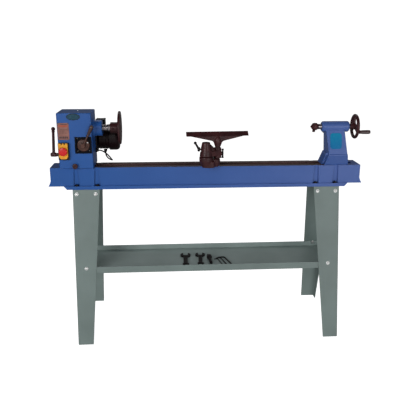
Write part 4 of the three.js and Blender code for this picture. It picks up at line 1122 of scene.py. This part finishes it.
def fan_cover():
    """A pressed bowl with three rings of air slots round a stamped centre."""
    outer = [(61.5, 144.3), (63, 146), (63, 176), (62, 183), (58.5, 189.5), (52, 193), (46, 193.8),
             (14, 193.8), (10, 192.6), (0, 192.6)]
    inner = [(0, 191), (11, 191), (15, 192.2), (45, 192.2), (51, 191.2), (57, 188), (60.6, 182), (61.4, 176),
             (61.4, 148), (58.5, 147), (58.5, 144.3), (61.5, 144.3)]
    bowl = turned(outer + inner, *MOTOR, 96, soft=1.0)
    slots = []
    for reach, count in ((22, 10), (34, 16), (46, 22)):
        for n in range(count):
            slot = block(reach - 4.2, reach + 4.2, -1.9, 1.9, 186, 198, "x", soft=1.8)
            slots.append(move(turn(slot, 360 * n / count, "x"), 0, MOTOR_Y, MOTOR_Z))
    return cut(bowl, together(*slots))


put(fan_cover(), "fan_guard", "headstock", MOTOR_BLACK, "motor_fan_cover", sharp=35)
guard_screws = [pan_screw((152, y, z), (0, y - MOTOR_Y, z - MOTOR_Z), 3.2, 1.8)
                for y, z in regular(4, 62.8, MOTOR_Y, MOTOR_Z, 45)]
put(guard_screws, "fan_guard_screws", "headstock", BLACK)


def cooling_fan():
    """The fan inside its guard: a hub with eight blades, which turns with the motor."""
    blades = [move(turn(block(152, 178, 10, 52, -1, 1), 45 * n, "x"), 0, MOTOR_Y, MOTOR_Z) for n in range(8)]
    return eased(join(rod(14, 148, 178, *MOTOR, soft=2), *blades), 0.5, 1, 50)


put(cooling_fan(), "cooling_fan", "rotor", PLASTIC)
shaft = turned([(0, -36), (9.5, -36), (9.5, 130), (8, 131), (8, 149), (0, 149)], *MOTOR, 48)
put(shaft, "rotor_shaft", "rotor", STEEL, "motor_shaft")


def terminal_box():
    """A cast box on the motor, which reaches over the mounting plate to the headstock, with a lid."""
    box = block(95, 127, 77, 133, 160, 200, soft=4)
    bridge = block(83.4, 100, 77, 133, 180.6, 200, soft=3)
    lid = eased(block(83.4, 128, 76, 134, 200.3, LID_TOP, soft=5), 1.4, 3, 50)
    return together(cut(eased(join(box, bridge), 1.0, 2, 50), motor_cylinder()), lid)


put(terminal_box(), "terminal_housing", "headstock", BLACK, "terminal_box")
lid_screws = [pan_screw((x, y, LID_TOP), (0, 0, 1), 2.8, 1.6, 35) for x in (89, 123) for y in (81, 129)]
put(lid_screws, "terminal_lid_screws", "headstock", ZINC)


def wall_gland():
    """The lead's gland in the headstock wall: a hexagon base and a domed nut."""
    start = HEAD_RIGHT + 0.3
    base = eased(extruded(regular(6, 9.4, *WALL_GLAND, 15), "x", start, start + 5), 0.5, 2, 40)
    nut = [(3.3, start + 4.8), (8, start + 4.8), (8, start + 8), (6.4, start + 12), (4.6, start + 15.2),
           (3.3, start + 15.2), (3.3, start + 4.8)]
    return together(base, turned(nut, "x", *WALL_GLAND, 40))


put(wall_gland(), "wall_gland", "headstock", PLASTIC, "cable_gland_headstock")


def motor_gland():
    """The lead's gland under the motor."""
    base = eased(extruded(regular(6, 8.6, *MOTOR_GLAND), "z", 53.5, 68), 0.5, 2, 40)
    nut = [(3.3, 43.9), (4.8, 43.9), (6.4, 48), (7.4, 51), (7.4, 53.8), (3.3, 53.8), (3.3, 43.9)]
    return together(cut(base, motor_cylinder()), turned(nut, "z", *MOTOR_GLAND, 40))


put(motor_gland(), "motor_gland", "headstock", PLASTIC, "cable_gland_motor")

# ---- Headstock controls ----

SPEED_X, SPEED_Z, LEVER_Y = 41.5, 107.5, -86.0
SPEED = ("y", SPEED_X, SPEED_Z)
LEVER_TILT = math.radians(26.6)
LEVER_WAY = Vector((math.sin(LEVER_TILT), 0, math.cos(LEVER_TILT)))
LEVER_ROOT = Vector((SPEED_X, LEVER_Y, SPEED_Z))

speed_plate = cut(block(4, 74.7, -66.7, -64, 71, 151), rod(6.5, -70, -60, *SPEED, 40, 0))
put(eased(speed_plate, 0.3, 1, 50), "speed_backplate", "headstock", WINDOW_BLACK, "speed_plate")
plate_screws = [pan_screw((x, -66.7, z), (0, -1, 0), 3.4, 1.8, 15)
                for x, z in ((14.5, 139), (68, 82), (14.5, 82))]
put(plate_screws, "speed_backplate_screws", "headstock", BARE_IRON)


def window_frame():
    """A flanged black frame that lines the speed window."""
    left, right, bottom, top = WINDOW
    flange = block(3, 80, 70.5, 147.5, HEAD_FRONT - 1.3, HEAD_FRONT + 0.1, "y", soft=2)
    lining = block(left + 0.1, right - 0.1, bottom + 0.1, top - 0.1, HEAD_FRONT - 1.3,
                   HEAD_FRONT + WALL - 0.4, "y", soft=2.5)
    opening = block(left + 0.9, right - 0.9, bottom + 0.9, top - 0.9, HEAD_FRONT - 4, HEAD_FRONT + WALL + 4,
                    "y", soft=2)
    return eased(cut(join(flange, lining), opening), 0.4, 2, 40)


put(window_frame(), "speed_window_frame", "headstock", WINDOW_BLACK)


def speed_lever():
    """A fluted disc with a raised boss, and the lever screwed into it through a collar."""
    disc = fluted([(0, -66.9), (29, -66.9), (29, -70.6), (25.6, -73.2), (18, -74.0), (12, -74.4), (0, -74.4)],
                  *SPEED, count=48, depth=0.9, beyond=27.0)
    boss = turned([(0, -74), (11.5, -74), (11, -77), (10.5, -90.6), (8.6, -93), (0, -93)], *SPEED)
    stem = rod(6, -67, -40, *SPEED)
    lever = turned([(0, 0), (3.6, 0), (3.6, 12), (3.1, 30), (3.1, 48.3), (0, 48.3)])
    collar = turned([(0, 8), (5.6, 8), (5.6, 13.5), (0, 13.5)])
    for part in (lever, collar):
        aim(part, LEVER_ROOT, LEVER_WAY)
    return join(disc, boss, stem, lever, collar)


put(speed_lever(), "speed_control", "speed_lever", DIAL, "speed_lever")
put(pan_screw((61.4, -73.2, 120.5), (0, -1, 0), 3.4, 2.2, 15), "speed_control_screw", "speed_lever", ZINC)
grip = turned([(0, 0), (5.4, 0), (6.2, 2), (6.0, 6), (7.4, 20), (9.0, 40), (9.4, 47), (8.8, 52), (6.6, 54.8),
               (0, 55.8)], segments=64, soft=2, steps=5)
put(aim(grip, LEVER_ROOT + LEVER_WAY * 48.4, LEVER_WAY), "speed_grip", "speed_lever", GRIP,
    "speed_lever_grip")

# The stop switch: a base with a green start button, under a hinged yellow flap with a red stop button.
SWITCH_X, START_Z, STOP_Z, SWITCH_FACE = -47.5, 104.0, 84.5, -87.0
STOP = ("y", SWITCH_X, STOP_Z)
FLAP_BACK, FLAP_FRONT = -87.3, -96.3


def switch_base():
    """The switch's base, with a joint line round it and a well for the start button."""
    base = block(SWITCH_X - 24.5, SWITCH_X + 24.5, 43, 123, SWITCH_FACE, -75.3, "y", soft=5)
    well = rod(9.3, SWITCH_FACE - 1, SWITCH_FACE + 8.5, "y", SWITCH_X, START_Z, 48, 0)
    beyond = block(SWITCH_X - 26, SWITCH_X + 26, 40, 126, -79.4, -78.6, "y")
    within = block(SWITCH_X - 23.9, SWITCH_X + 23.9, 43.6, 122.4, -80, -78, "y", soft=5)
    return eased(cut(base, well, cut(beyond, within)), 0.3, 2, 40)


put(switch_base(), "switch_housing", "headstock", PLASTIC, "switch_base")

start_face = [(0, -82), (9, -82), (9, -85), (7.8, -86.2), (7.3, -86.2), (6.5, -85.7), (5.7, -86.2),
              (2.7, -85.3), (0, -85.2)]
put(turned(start_face, "y", SWITCH_X, START_Z, soft=0.4), "start_push", "start_button", GREEN, "start_button")


def switch_flap():
    """The flap: chamfered lower corners, two notches in its hinge edge and a recessed face."""
    half, bottom, top = 20.5, 49, 121
    outline = [(-half, bottom + 11), (-half + 8, bottom), (half - 8, bottom), (half, bottom + 11),
               (half, top)]
    for x in (6.5, -6.5):
        outline += [(x + 3, top), (x + 1.5, top - 8), (x - 1.5, top - 8), (x - 3, top)]
    outline.append((-half, top))
    inset = [(-half + 3, bottom + 12), (-half + 9.4, bottom + 3), (half - 9.4, bottom + 3),
             (half - 3, bottom + 12), (half - 3, top - 12), (-half + 3, top - 12)]
    outline, inset = [[(x + SWITCH_X, z) for x, z in line] for line in (outline, inset)]
    flap = extruded(outline, "y", FLAP_FRONT, FLAP_BACK, soft=1.6)
    face = extruded(inset, "y", FLAP_FRONT - 1, FLAP_FRONT + 1.1, soft=2.5)
    hole = rod(9, FLAP_FRONT - 1, FLAP_BACK + 1, *STOP, 48, 0)
    room = block(SWITCH_X - 15, SWITCH_X + 15, FLAP_FRONT + 3, FLAP_BACK + 1, 93, 117)
    return eased(cut(flap, face, hole, room), 0.7, 2, 40)


put(switch_flap(), "stop_flap", "switch_flap", YELLOW, "switch_flap")


def stop_button():
    """A mushroom head with a fluted skirt and a slightly domed face."""
    head = fluted([(0, -100.7), (19.2, -100.7), (19.8, -103), (19.8, -106), (18.4, -108.4), (14, -109.8),
                   (7, -110.6), (0, -110.8)], *STOP, count=24, depth=0.7, beyond=19.0, soft=1.4)
    return join(head, rod(8.6, -102, FLAP_BACK - 4.4, *STOP))


put(stop_button(), "stop_push", "stop_button", RED, "stop_button")

PLATE_FACE = -76.3
rating_plate = block(-70.5, -18.5, 134.5, 212, PLATE_FACE, -75.3, "y", soft=2.5)
put(eased(rating_plate, 0.25, 1, 50), "rating_plate", "headstock", PLATE, "data_plate")
rivets = [dome_head((x, PLATE_FACE + 0.9, z), (0, -1, 0), 1.3, 0.8) for x in (-67.6, -21.4)
          for z in (137.4, 209)]
put(rivets, "rating_plate_rivets", "headstock", BARE_IRON)


def printed(areas, name, look):
    """Flat printed patches on the rating plate, each given by its left, right, bottom and top."""
    patches = [block(*area, PLATE_FACE - 0.12, PLATE_FACE + 0.05, "y", soft=0.5) for area in areas]
    put(patches, name, "headstock", look)


printed([(-65, -24, 193, 203)], "rating_plate_band", ORANGE)
rules = [(-65, -24, 205, 207)] + [(-62, -27, z, z + 0.8) for z in (164, 170, 176, 182)]
marks = [(-63 + 7.8 * n, -57.2 + 7.8 * n, 141, 150) for n in range(5)]
printed(rules + marks, "rating_plate_marks", PRINT)

for name, wide, high, front, back, look, stands_for in (
        ("badge_rim", 31, 15, -77.0, -75.3, BADGE_RIM, "oval_badge"),
        ("badge_face", 27.6, 12, -77.6, -76.9, BADGE, None)):
    oval = [(3 + wide * a, 239 + high * b) for a, b in regular(72, 1)]
    put(eased(extruded(oval, "y", front, back), 0.5, 3, 50), name, "headstock", look, stands_for)

knob = fluted([(0, -38.5), (4, -38.5), (5, -40), (5, -76), (8, -76.2), (12, -80), (13, -83), (13, -89),
               (11.6, -91.6), (7, -92.4), (6.4, -91.6), (0, -91.6)],
              "y", 0, PIN_Z, count=30, depth=0.9, beyond=11.6)
put(knob, "index_pin_knob", "index_pin", IRON, "index_pin")


def lock_lever():
    """The headstock lock: a shaft with collars, and an upright lever with a ball."""
    x, z = -110.0, LOCK_Z
    lean = Vector((6, 0, 122))
    across = turned([(0, -44), (6, -44), (6, -76), (8.4, -77), (8.4, -97), (9.6, -98), (9.6, -121), (8, -124),
                     (0, -124)], "x", 0, z, 48, soft=1)
    upright = turned([(0, 0), (8, 0), (8, 11), (6.8, 14), (6.6, 60), (6.2, 106), (7.6, 108), (7.6, 114),
                      (0, 114)])
    return join(across, aim(upright, (x, 0, z), lean), ball(9.4, Vector((x, 0, z)) + lean))


put(lock_lever(), "swivel_lock", "headstock_lock", IRON, "headstock_lock_lever")

# ---- Clamps under the ways ----

def clamp_bolt(seat):
    """A threaded bolt up through the ways, with a washer and a crowned nut on the casting."""
    nut = common(extruded(regular(6, 12), "z", seat + 3.1, seat + 14),
                 turned([(0, seat + 3), (14, seat + 3), (14, seat + 11.5), (9.6, seat + 14), (0, seat + 14)]))
    head = extruded(regular(6, 12), "z", -36, -27)
    return together(threaded(7.5, 2.5, "z", -40, seat + 18), eased(nut, 0.3, 1, 40), eased(head, 0.8, 2, 40),
                    ring(7.7, 15, seat + 0.3, seat + 3))


def clamp_plate():
    """A cast plate with ribs, which a bolt draws up under the ways."""
    plate = block(-40, 40, -40, 40, -26.6, -19.5, soft=8)
    ribs = [block(-38, 38, y - 5, y + 5, -20, -16.3, soft=3) for y in (-32, 32)]
    return eased(cut(join(plate, *ribs), rod(8.4, -30, -10)), 0.8, 2, 40)


for name, body, seat in (("banjo", "banjo_clamp", 34), ("tail", "tailstock", 20)):
    put(clamp_bolt(seat), f"{name}_bolt", body, STEEL_UPRIGHT, f"{name}_clamp_bolt")
    put(clamp_plate(), f"{name}_grip_plate", body, BARE_IRON, f"{name}_clamp_plate")


# ---- Tool rest ----

SEAT, SOCKET = (-16.0, -100.0), (40.0, -75.0)  # x and y of the arm's post and of the rest's socket
SOCKET_RADIUS, POST_RADIUS = 17.5, 12.4
REST_YAW = 3.9  # degrees that the blade is turned from the line of the bed
LOCK_LEVEL, POST_LOCK_LEVEL = 91.0, 66.0
VOXEL = 1.2


def banjo():
    """The slotted foot on the ways, which rises into a round seat and the post for the arm."""
    foot_line = [(-34, 52), (-34, -84), (-25, -122), (20, -122), (34, -84), (34, 52)]
    foot = extruded(foot_line, "z", 0.3, 34, soft=12, steps=6)
    seat = turned([(0, 4), (17, 4), (22, 12), (31.5, 36), (31.5, 57), (0, 57)], "z", *SEAT, soft=5)
    shoulder = turned([(0, 6), (15, 6), (22.5, 26), (22.5, 43), (0, 43)], "z", 29, -84, soft=4)
    ribs = [extruded([(side * 21, -60), (side * 29, -60), (side * 29, 38), (side * 21, 38)], "z", 30, 38.5,
                     soft=3) for side in (-1, 1)]
    body = cast(join(cut(foot, block(-40, 40, -130, -66, -1, 6)), seat, shoulder, *ribs), VOXEL, 7)
    slot = block(-9, 9, -40, 36, -5, 60, soft=8.8, steps=8)
    nut_face = block(-17, 17, -40, 36, 33.8, 60, soft=8.8, steps=8)
    post = turned([(0, 40), (12, 40), (12, 106), (11.2, 107), (11.2, 109), (12, 110), (10.6, 112), (0, 112)],
                  "z", *SEAT, soft=0.5)
    trimmed = cut(body, slot, nut_face, rod(40, 57.9, 70, "z", *SEAT), block(-80, 80, -160, 80, -10, 0.3))
    return join(trimmed, post)


put(banjo(), "banjo_casting", "banjo", IRON, "banjo_base", sharp=50)


def rest_arm():
    """The arm: a conical tower on the post, bridged to the socket for the tool rest."""
    tower = turned([(0, 58), (30, 58), (27, 80), (18.5, 123), (0, 124.5)], "z", *SEAT, soft=2)
    bridge = extruded(wrapped((*SEAT, 24), (*SOCKET, SOCKET_RADIUS)), "z", 58, 82)
    gusset = bar(13, (SEAT[0] + 4, SEAT[1] + 2, 112), (SOCKET[0] - 6, SOCKET[1] - 3, 66))
    socket = rod(SOCKET_RADIUS + 0.3, 45, 86.6, "z", *SOCKET)
    lock_boss = rod(9.4, SOCKET[0], 59.9, "x", SOCKET[1], POST_LOCK_LEVEL)
    tower_boss = rod(10.5, -42, SEAT[0], "x", SEAT[1], LOCK_LEVEL)
    body = cast(join(tower, bridge, gusset, socket, lock_boss, tower_boss), VOXEL, 7)
    around = turned([(0, 50), (60, 50), (60, 58.3), (0, 58.3)], "z", *SEAT, soft=0)
    below = cut(around, rod(SOCKET_RADIUS + 1.5, 40, 90, "z", *SOCKET))
    tools = [
        below,
        rod(12.8, 50, 112.5, "z", *SEAT, soft=0),
        rod(POST_RADIUS + 0.3, 40, 90, "z", *SOCKET, soft=0),
        rod(SOCKET_RADIUS + 4, 86, 92, "z", *SOCKET, soft=0),
        rod(5.2, SEAT[0] - 40, SEAT[0] - 5, "x", SEAT[1], LOCK_LEVEL, 32, 0),
        rod(5.2, SOCKET[0] + 5, SOCKET[0] + 30, "x", SOCKET[1], POST_LOCK_LEVEL, 32, 0),
        block(-43.2, -39.5, SEAT[1] - 14, SEAT[1] + 14, LOCK_LEVEL - 14, LOCK_LEVEL + 14),
        block(59.5, 62, SOCKET[1] - 12, SOCKET[1] + 12, POST_LOCK_LEVEL - 12, POST_LOCK_LEVEL + 12),
    ]
    return cut(body, *tools)


put(rest_arm(), "swing_arm", "rest_arm", IRON, "rest_arm", sharp=50)

collar = cut(ring(POST_RADIUS + 0.3, 17, 86.3, 94, "z", *SOCKET, soft=1.2),
             rod(3.2, -100, -75, "y", SOCKET[0], 90.2, 32, 0))
grub_screw = socket_screw((SOCKET[0], SOCKET[1] - 15.6, 90.2), (0, -1, 0), 2.9, 1.2)
put(together(collar, grub_screw), "post_collar", "rest_collar", IRON, "rest_collar")


def tool_rest():
    """A leaning blade on a triangular web, which flows into the round post."""
    web_line = [(-143, 151.5), (-25, 125), (-19, 118), (-13, 101), (14, 101), (20, 118), (27, 125),
                (140, 151.5)]
    web = extruded(web_line, "y", -5.4, 5.4)
    section = [(-14.3, 149), (2.3, 149), (11.4, 162), (11.4, 166.4), (10, 168.3), (5, 168.3), (-4.2, 158.2)]
    blade = extruded(section, "x", -147.3, 144.3, soft=1.2)
    neck = turned([(0, 96), (13.2, 96), (14.4, 110), (15.8, 122), (13.6, 136), (8, 148), (0, 150)], soft=4)
    body = cast(join(web, blade, neck), 1.1, 4)
    post = turned([(0, 48), (POST_RADIUS, 48), (POST_RADIUS, 117), (0, 117)], soft=1.0)
    rest = join(cut(body, block(-30, 30, -30, 30, 90, 100)), post)
    return move(turn(rest, REST_YAW, "z"), *SOCKET)


put(tool_rest(), "tool_rest_casting", "tool_rest", IRON, "tool_rest", sharp=50)


def ball_lever(hub, end, ball_radius, hub_radius, hub_span, screw_end, axis):
    """A clamp screw with a round hub and a tapered lever that ends in a ball."""
    hub, end = Vector(hub), Vector(end)
    reach = (end - hub).length
    number = "xyz".index(axis)
    a, b = [hub[n] for n in range(3) if n != number]
    low, high = hub_span
    body = turned([(0, low), (hub_radius - 1, low), (hub_radius, low + 2), (hub_radius, high - 3),
                   (hub_radius - 2, high), (0, high)], axis, a, b, soft=1.0)
    start, stop = sorted((screw_end, hub[number]))
    screw = threaded(4.4, 1.75, axis, start, stop, a, b, depth=0.8)
    stem = turned([(0, 0), (6.4, 0), (5.0, reach * 0.4), (4.4, reach), (0, reach)], soft=1)
    knob = ball(ball_radius, end)
    return together(join(body, aim(stem, hub, end - hub), knob), screw)


arm_lock = ball_lever((-49, SEAT[1], LOCK_LEVEL), (-66, SEAT[1], LOCK_LEVEL + 29), 7, 10.4, (-55.5, -43.5),
                      -31, "x")
put(arm_lock, "arm_lock_lever", "arm_lock", BLACK, "arm_lock_handle")


def post_lock():
    """A screw head with a sliding bar, which has a knob on each end."""
    start = SOCKET[0] + SOCKET_RADIUS + 2.3
    middle_x = start + 4
    place = (SOCKET[1], POST_LOCK_LEVEL)
    head = rod(7, start, start + 8, "x", *place, soft=1.2)
    screw = threaded(4.4, 1.75, "x", SOCKET[0] + 13.5, start + 2, *place, depth=0.8)
    sliding = turned([(0, -22), (5, -22), (5.4, -20), (5, -16), (4.2, -15.4), (4.2, 15.4), (5, 16), (5.4, 20),
                      (5, 22), (0, 22)], segments=32, soft=0.8)
    return together(join(head, move(sliding, middle_x, *place)), screw)


put(post_lock(), "post_lock_bar", "post_lock", BLACK, "post_lock_handle")

# ---- Tailstock ----

QUILL_RADIUS = 13.0
COLUMN_FOOT, COLUMN_TOP = (-37, 54, 55, 49), (-52, 40, 25, 165)  # left, right, half depth and height


def sides(left, right, half):
    return rectangle(left, right, -half, half)


def tailstock_casting():
    """A barrel on a leaning column, which grows into the foot with its toe towards the headstock."""
    low, high = COLUMN_FOOT, COLUMN_TOP
    column = tapered(sides(*low[:3]), sides(*high[:3]), "z", low[3] - 2, high[3], soft=4)
    foot = tapered(sides(-59, 59, 58), sides(low[0] - 2, low[1] + 1, 57), "z", 0.3, low[3] + 1, soft=4)
    toe = tapered(sides(-70, 0, 36), sides(-47, 0, 36), "z", 0.3, 56, soft=4)
    ends = [(0, -70), (20.6, -70), (26, -63.4), (26, 58.4), (20.6, 65), (0, 65)]
    barrel = turned(ends, *SPINDLE, 96, soft=1.0)
    body = cast(join(column, foot, toe, barrel), 1.5, 5)
    bay = block(-24, 34, 20, 88, -24, 70, "y", soft=6)
    tools = [
        bay,
        rod(8.5, -1, 21, soft=0),
        rod(QUILL_RADIUS + 0.3, -80, 50, *SPINDLE, 64, 0),
        rod(8.3, 45, 80, *SPINDLE, 48, 0),
        rod(5.3, 5, 40, "y", -40, AXIS, 32, 0),
        block(-90, 90, -80, 80, -10, 0.3),
        block(-90, -69.9, -40, 40, AXIS - 40, AXIS + 40),
        block(64.9, 90, -40, 40, AXIS - 40, AXIS + 40),
    ]
    return cut(body, *tools)


def in_painted_foot_shade(face):
    """Whether a face is below the ledge, where a deeper blue is painted shade on the foot."""
    return int(face.center.z < COLUMN_FOOT[3] - 3)


tail_body = paint_faces(tailstock_casting(), [BLUE, SHADED_FOOT_BLUE], in_painted_foot_shade)
put(tail_body, "tailstock_body", "tailstock", BLUE, "tailstock_casting", sharp=50)
COLUMN_LEAN = math.degrees(math.atan((COLUMN_FOOT[2] - COLUMN_TOP[2]) / (COLUMN_TOP[3] - COLUMN_FOOT[3])))
panel = eased(block(-28, 28, -38, 38, -1.5, -0.1, "y", soft=16, steps=10), 0.5, 3, 50)
panel_y = -COLUMN_TOP[2] - (COLUMN_TOP[3] - 113) * math.tan(math.radians(COLUMN_LEAN))
put(move(turn(panel, -COLUMN_LEAN, "x"), -4, panel_y, 113), "tailstock_name_panel", "tailstock", PANEL,
    "tailstock_panel")


def quill():
    """The ground quill, with depth rings every 10 mm, a key slot beneath and a Morse-like bore."""
    profile = [(0, -85), (QUILL_RADIUS, -85)]
    for n in range(12):
        along = -78 + 10 * n
        deep = 0.5 if n % 5 == 0 else 0.25
        profile += [(QUILL_RADIUS, along - 0.45), (QUILL_RADIUS - deep, along), (QUILL_RADIUS, along + 0.45)]
    profile += [(QUILL_RADIUS, 40), (0, 40)]
    body = turned(profile, *SPINDLE, 64, soft=0.2, steps=1)
    slot = block(-70, 36, -2, 2, AXIS - 16, AXIS - 10.5)
    return cut(body, rod(7, -90, -50, *SPINDLE, 48, 0), rod(8.3, -46, 41, *SPINDLE, 48, 0), slot)


put(quill(), "tail_quill", "quill", STEEL, "quill")


def live_centre():
    """The live centre's bearing housing, with a knurled band, its taper shank and its small lock knob."""
    body = fluted([(0, -109), (16.6, -109), (17.7, -107.6), (17.7, -94.6), (16.4, -92.4), (12.4, -87),
                   (11, -86), (11, -85.4), (6, -85.4), (5.6, -52), (0, -52)],
                  *SPINDLE, count=44, depth=0.5, beyond=17.65)
    knob = turned([(0, -10), (4.4, -10), (4.4, -16), (6.8, -18), (7.4, -22), (6.6, -26), (0, -27.4)],
                  soft=1.6)
    return join(body, move(knob, -106, 0, AXIS))


put(live_centre(), "centre_housing", "quill", IRON, "live_centre_body")
point = turned([(0, -124.3), (0.7, -124.2), (1.6, -123), (15.4, -112.4), (16.2, -111.4), (16.2, -109.5),
                (0, -109.5)], *SPINDLE, 72, soft=0.5)
put(point, "centre_cone", "centre_point", IRON, "live_centre_point")

# ---- Handwheel ----

WHEEL_X, WHEEL_RIM, GRIP_ANGLE = 96.0, 52.0, 205.0


def round_wheel(angle, reach):
    """A place on the wheel, as y and z, from its angle in degrees and its distance from the axis."""
    turned_by = math.radians(angle)
    return reach * math.cos(turned_by), AXIS + reach * math.sin(turned_by)


PIN = round_wheel(GRIP_ANGLE, WHEEL_RIM - 2)


def handwheel():
    """A dished wheel: a round rim, three spokes that swell at both ends and a hub."""
    rim_section = [(WHEEL_RIM + 7.6 * a, WHEEL_X + 7.6 * b) for a, b in regular(24, 1)]
    rim = turned(rim_section + rim_section[:1], *SPINDLE, 96, soft=0)
    hub = turned([(0, 70.3), (12.2, 70.3), (14.2, 88), (14.2, 99.6), (12, 102.4), (0, 102.4)], *SPINDLE, 64,
                 soft=2)
    spokes = []
    for n in range(3):
        angle = GRIP_ANGLE + 120 * n
        start, end = (WHEEL_X - 4, *round_wheel(angle, 6)), (WHEEL_X, *round_wheel(angle, WHEEL_RIM))
        reach = Vector(end) - Vector(start)
        length = reach.length
        profile = [(0, 0), (8.6, 0), (6.2, length * 0.35), (5.6, length * 0.6), (7.4, length), (0, length)]
        spoke = turned(profile, soft=4)
        spokes.append(aim(spoke, start, reach))
    boss = rod(7.4, WHEEL_X - 2, WHEEL_X + 6.0, "x", *PIN, soft=1.5)
    body = cast(join(rim, hub, *spokes, boss), 1.1, 6)
    bore = rod(5.5, 60, 96.3, *SPINDLE, 32, 0)
    squared = block(60, 70.2, -20, 20, AXIS - 20, AXIS + 20)
    pin = rod(3.2, WHEEL_X, 157, "x", *PIN, 32, 0.4)
    return join(cut(body, bore, squared), pin)


put(handwheel(), "tail_handwheel", "handwheel", IRON, "handwheel", sharp=50)


def lead_screw():
    """The lead screw, with a square-cut thread in the quill and a plain end in the wheel."""
    thread = threaded(8, 4, "x", -40, 52, 0, AXIS, depth=1.8)
    plain = turned([(0, 51), (8, 51), (8, 70), (5, 70), (5, 96), (0, 96)], *SPINDLE, soft=0.6)
    return together(thread, plain)


put(lead_screw(), "tail_lead_screw", "handwheel", STEEL, "lead_screw")
put(hex_head((102.2, 0, AXIS), (1, 0, 0), 14, 6, 1.6), "handwheel_nut", "handwheel", ZINC)


def wheel_grip():
    """The turning grip on the wheel's pin, with a collar and a domed end."""
    profile = [(3.5, 104.0), (7.4, 104.0), (9, 105.6), (9, 107), (8.2, 108.6), (8.2, 110.5), (9.2, 120),
               (9.6, 140), (9.4, 153), (8.0, 156.8), (4.6, 158.4), (3.5, 158.4), (3.5, 104.0)]
    return turned(profile, "x", *PIN, 64, soft=1.6, steps=4)


put(wheel_grip(), "tail_wheel_grip", "wheel_grip", GRIP, "handwheel_grip")
quill_lever = ball_lever((-40, 38, AXIS), (-40, 62, AXIS - 34), 6.5, 8, (27, 42), 14.4, "y")
put(quill_lever, "quill_lock_lever", "quill_lock", BLACK, "quill_lock")

# ---- Floor and light ----

def make_floor():
    mesh = bmesh.new()
    corners = [mesh.verts.new((x, y, 0)) for x, y in rectangle(-30, 30, -12, 40)]
    mesh.faces.new(corners)
    floor = new_object(mesh, "floor")
    floor.data.materials.append(pale_floor())
    floor.visible_diffuse = floor.visible_glossy = False


def make_backdrop():
    """A white dome that only the camera sees, so that its white isn't reflected in the castings."""
    mesh = bmesh.new()
    bmesh.ops.create_icosphere(mesh, subdivisions=4, radius=28)
    dome = new_object(mesh, "backdrop")
    white = Look("white_backdrop", base_color=(0, 0, 0, 1), emission_color=(1, 1, 1, 1))
    white.drive("Emission Strength", white.spread(white.noise(0.1), 0.0, 1.0, 1.05, 1.15))
    dome.data.materials.append(white.material)
    dome.visible_diffuse = dome.visible_glossy = dome.visible_shadow = dome.visible_transmission = False


def area_light(name, place, target, size, power):
    data = bpy.data.lights.new(name, "AREA")
    data.shape, data.size, data.size_y = "RECTANGLE", size[0], size[1]
    data.energy = power
    light = bpy.data.objects.new(name, data)
    scene.collection.objects.link(light)
    light.location = place
    light.rotation_euler = (Vector(target) - Vector(place)).to_track_quat("-Z", "Y").to_euler()
    light.visible_camera = False


def make_world():
    """Soft light from the front half of the room, dim above and behind."""
    world = bpy.data.worlds.new("studio")
    scene.world = world
    world.use_nodes = True
    tree = world.node_tree
    sky = tree.nodes["Background"]
    split = tree.nodes.new("ShaderNodeSeparateXYZ")
    tree.links.new(tree.nodes.new("ShaderNodeTexCoord").outputs["Generated"], split.inputs[0])
    strength = tree.nodes.new("ShaderNodeMath")
    strength.operation = "MULTIPLY"
    for place, (letter, values) in enumerate((("Y", (-0.9, 0.3, 0.6, 0.13)), ("Z", (0.1, 0.7, 1.0, 0.2)))):
        fade = tree.nodes.new("ShaderNodeMapRange")
        tree.links.new(split.outputs[letter], fade.inputs[0])
        for number, value in enumerate(values, 1):
            fade.inputs[number].default_value = value
        tree.links.new(fade.outputs[0], strength.inputs[place])
    tree.links.new(strength.outputs[0], sky.inputs["Strength"])
    sky.inputs["Color"].default_value = (1, 1, 1, 1)


make_floor()
make_backdrop()
make_world()
area_light("key", (-2.2, -3.6, 1.9), (0, 0, 0.75), (1.6, 1.6), 62)
area_light("fill", (2.2, -3.6, 1.1), (0.2, 0, 0.6), (1.8, 1.8), 30)
area_light("back", (0.2, 2.2, 3.6), (0, 0, 0.6), (3.0, 1.0), 24)
scene.view_settings.view_transform = "Standard"
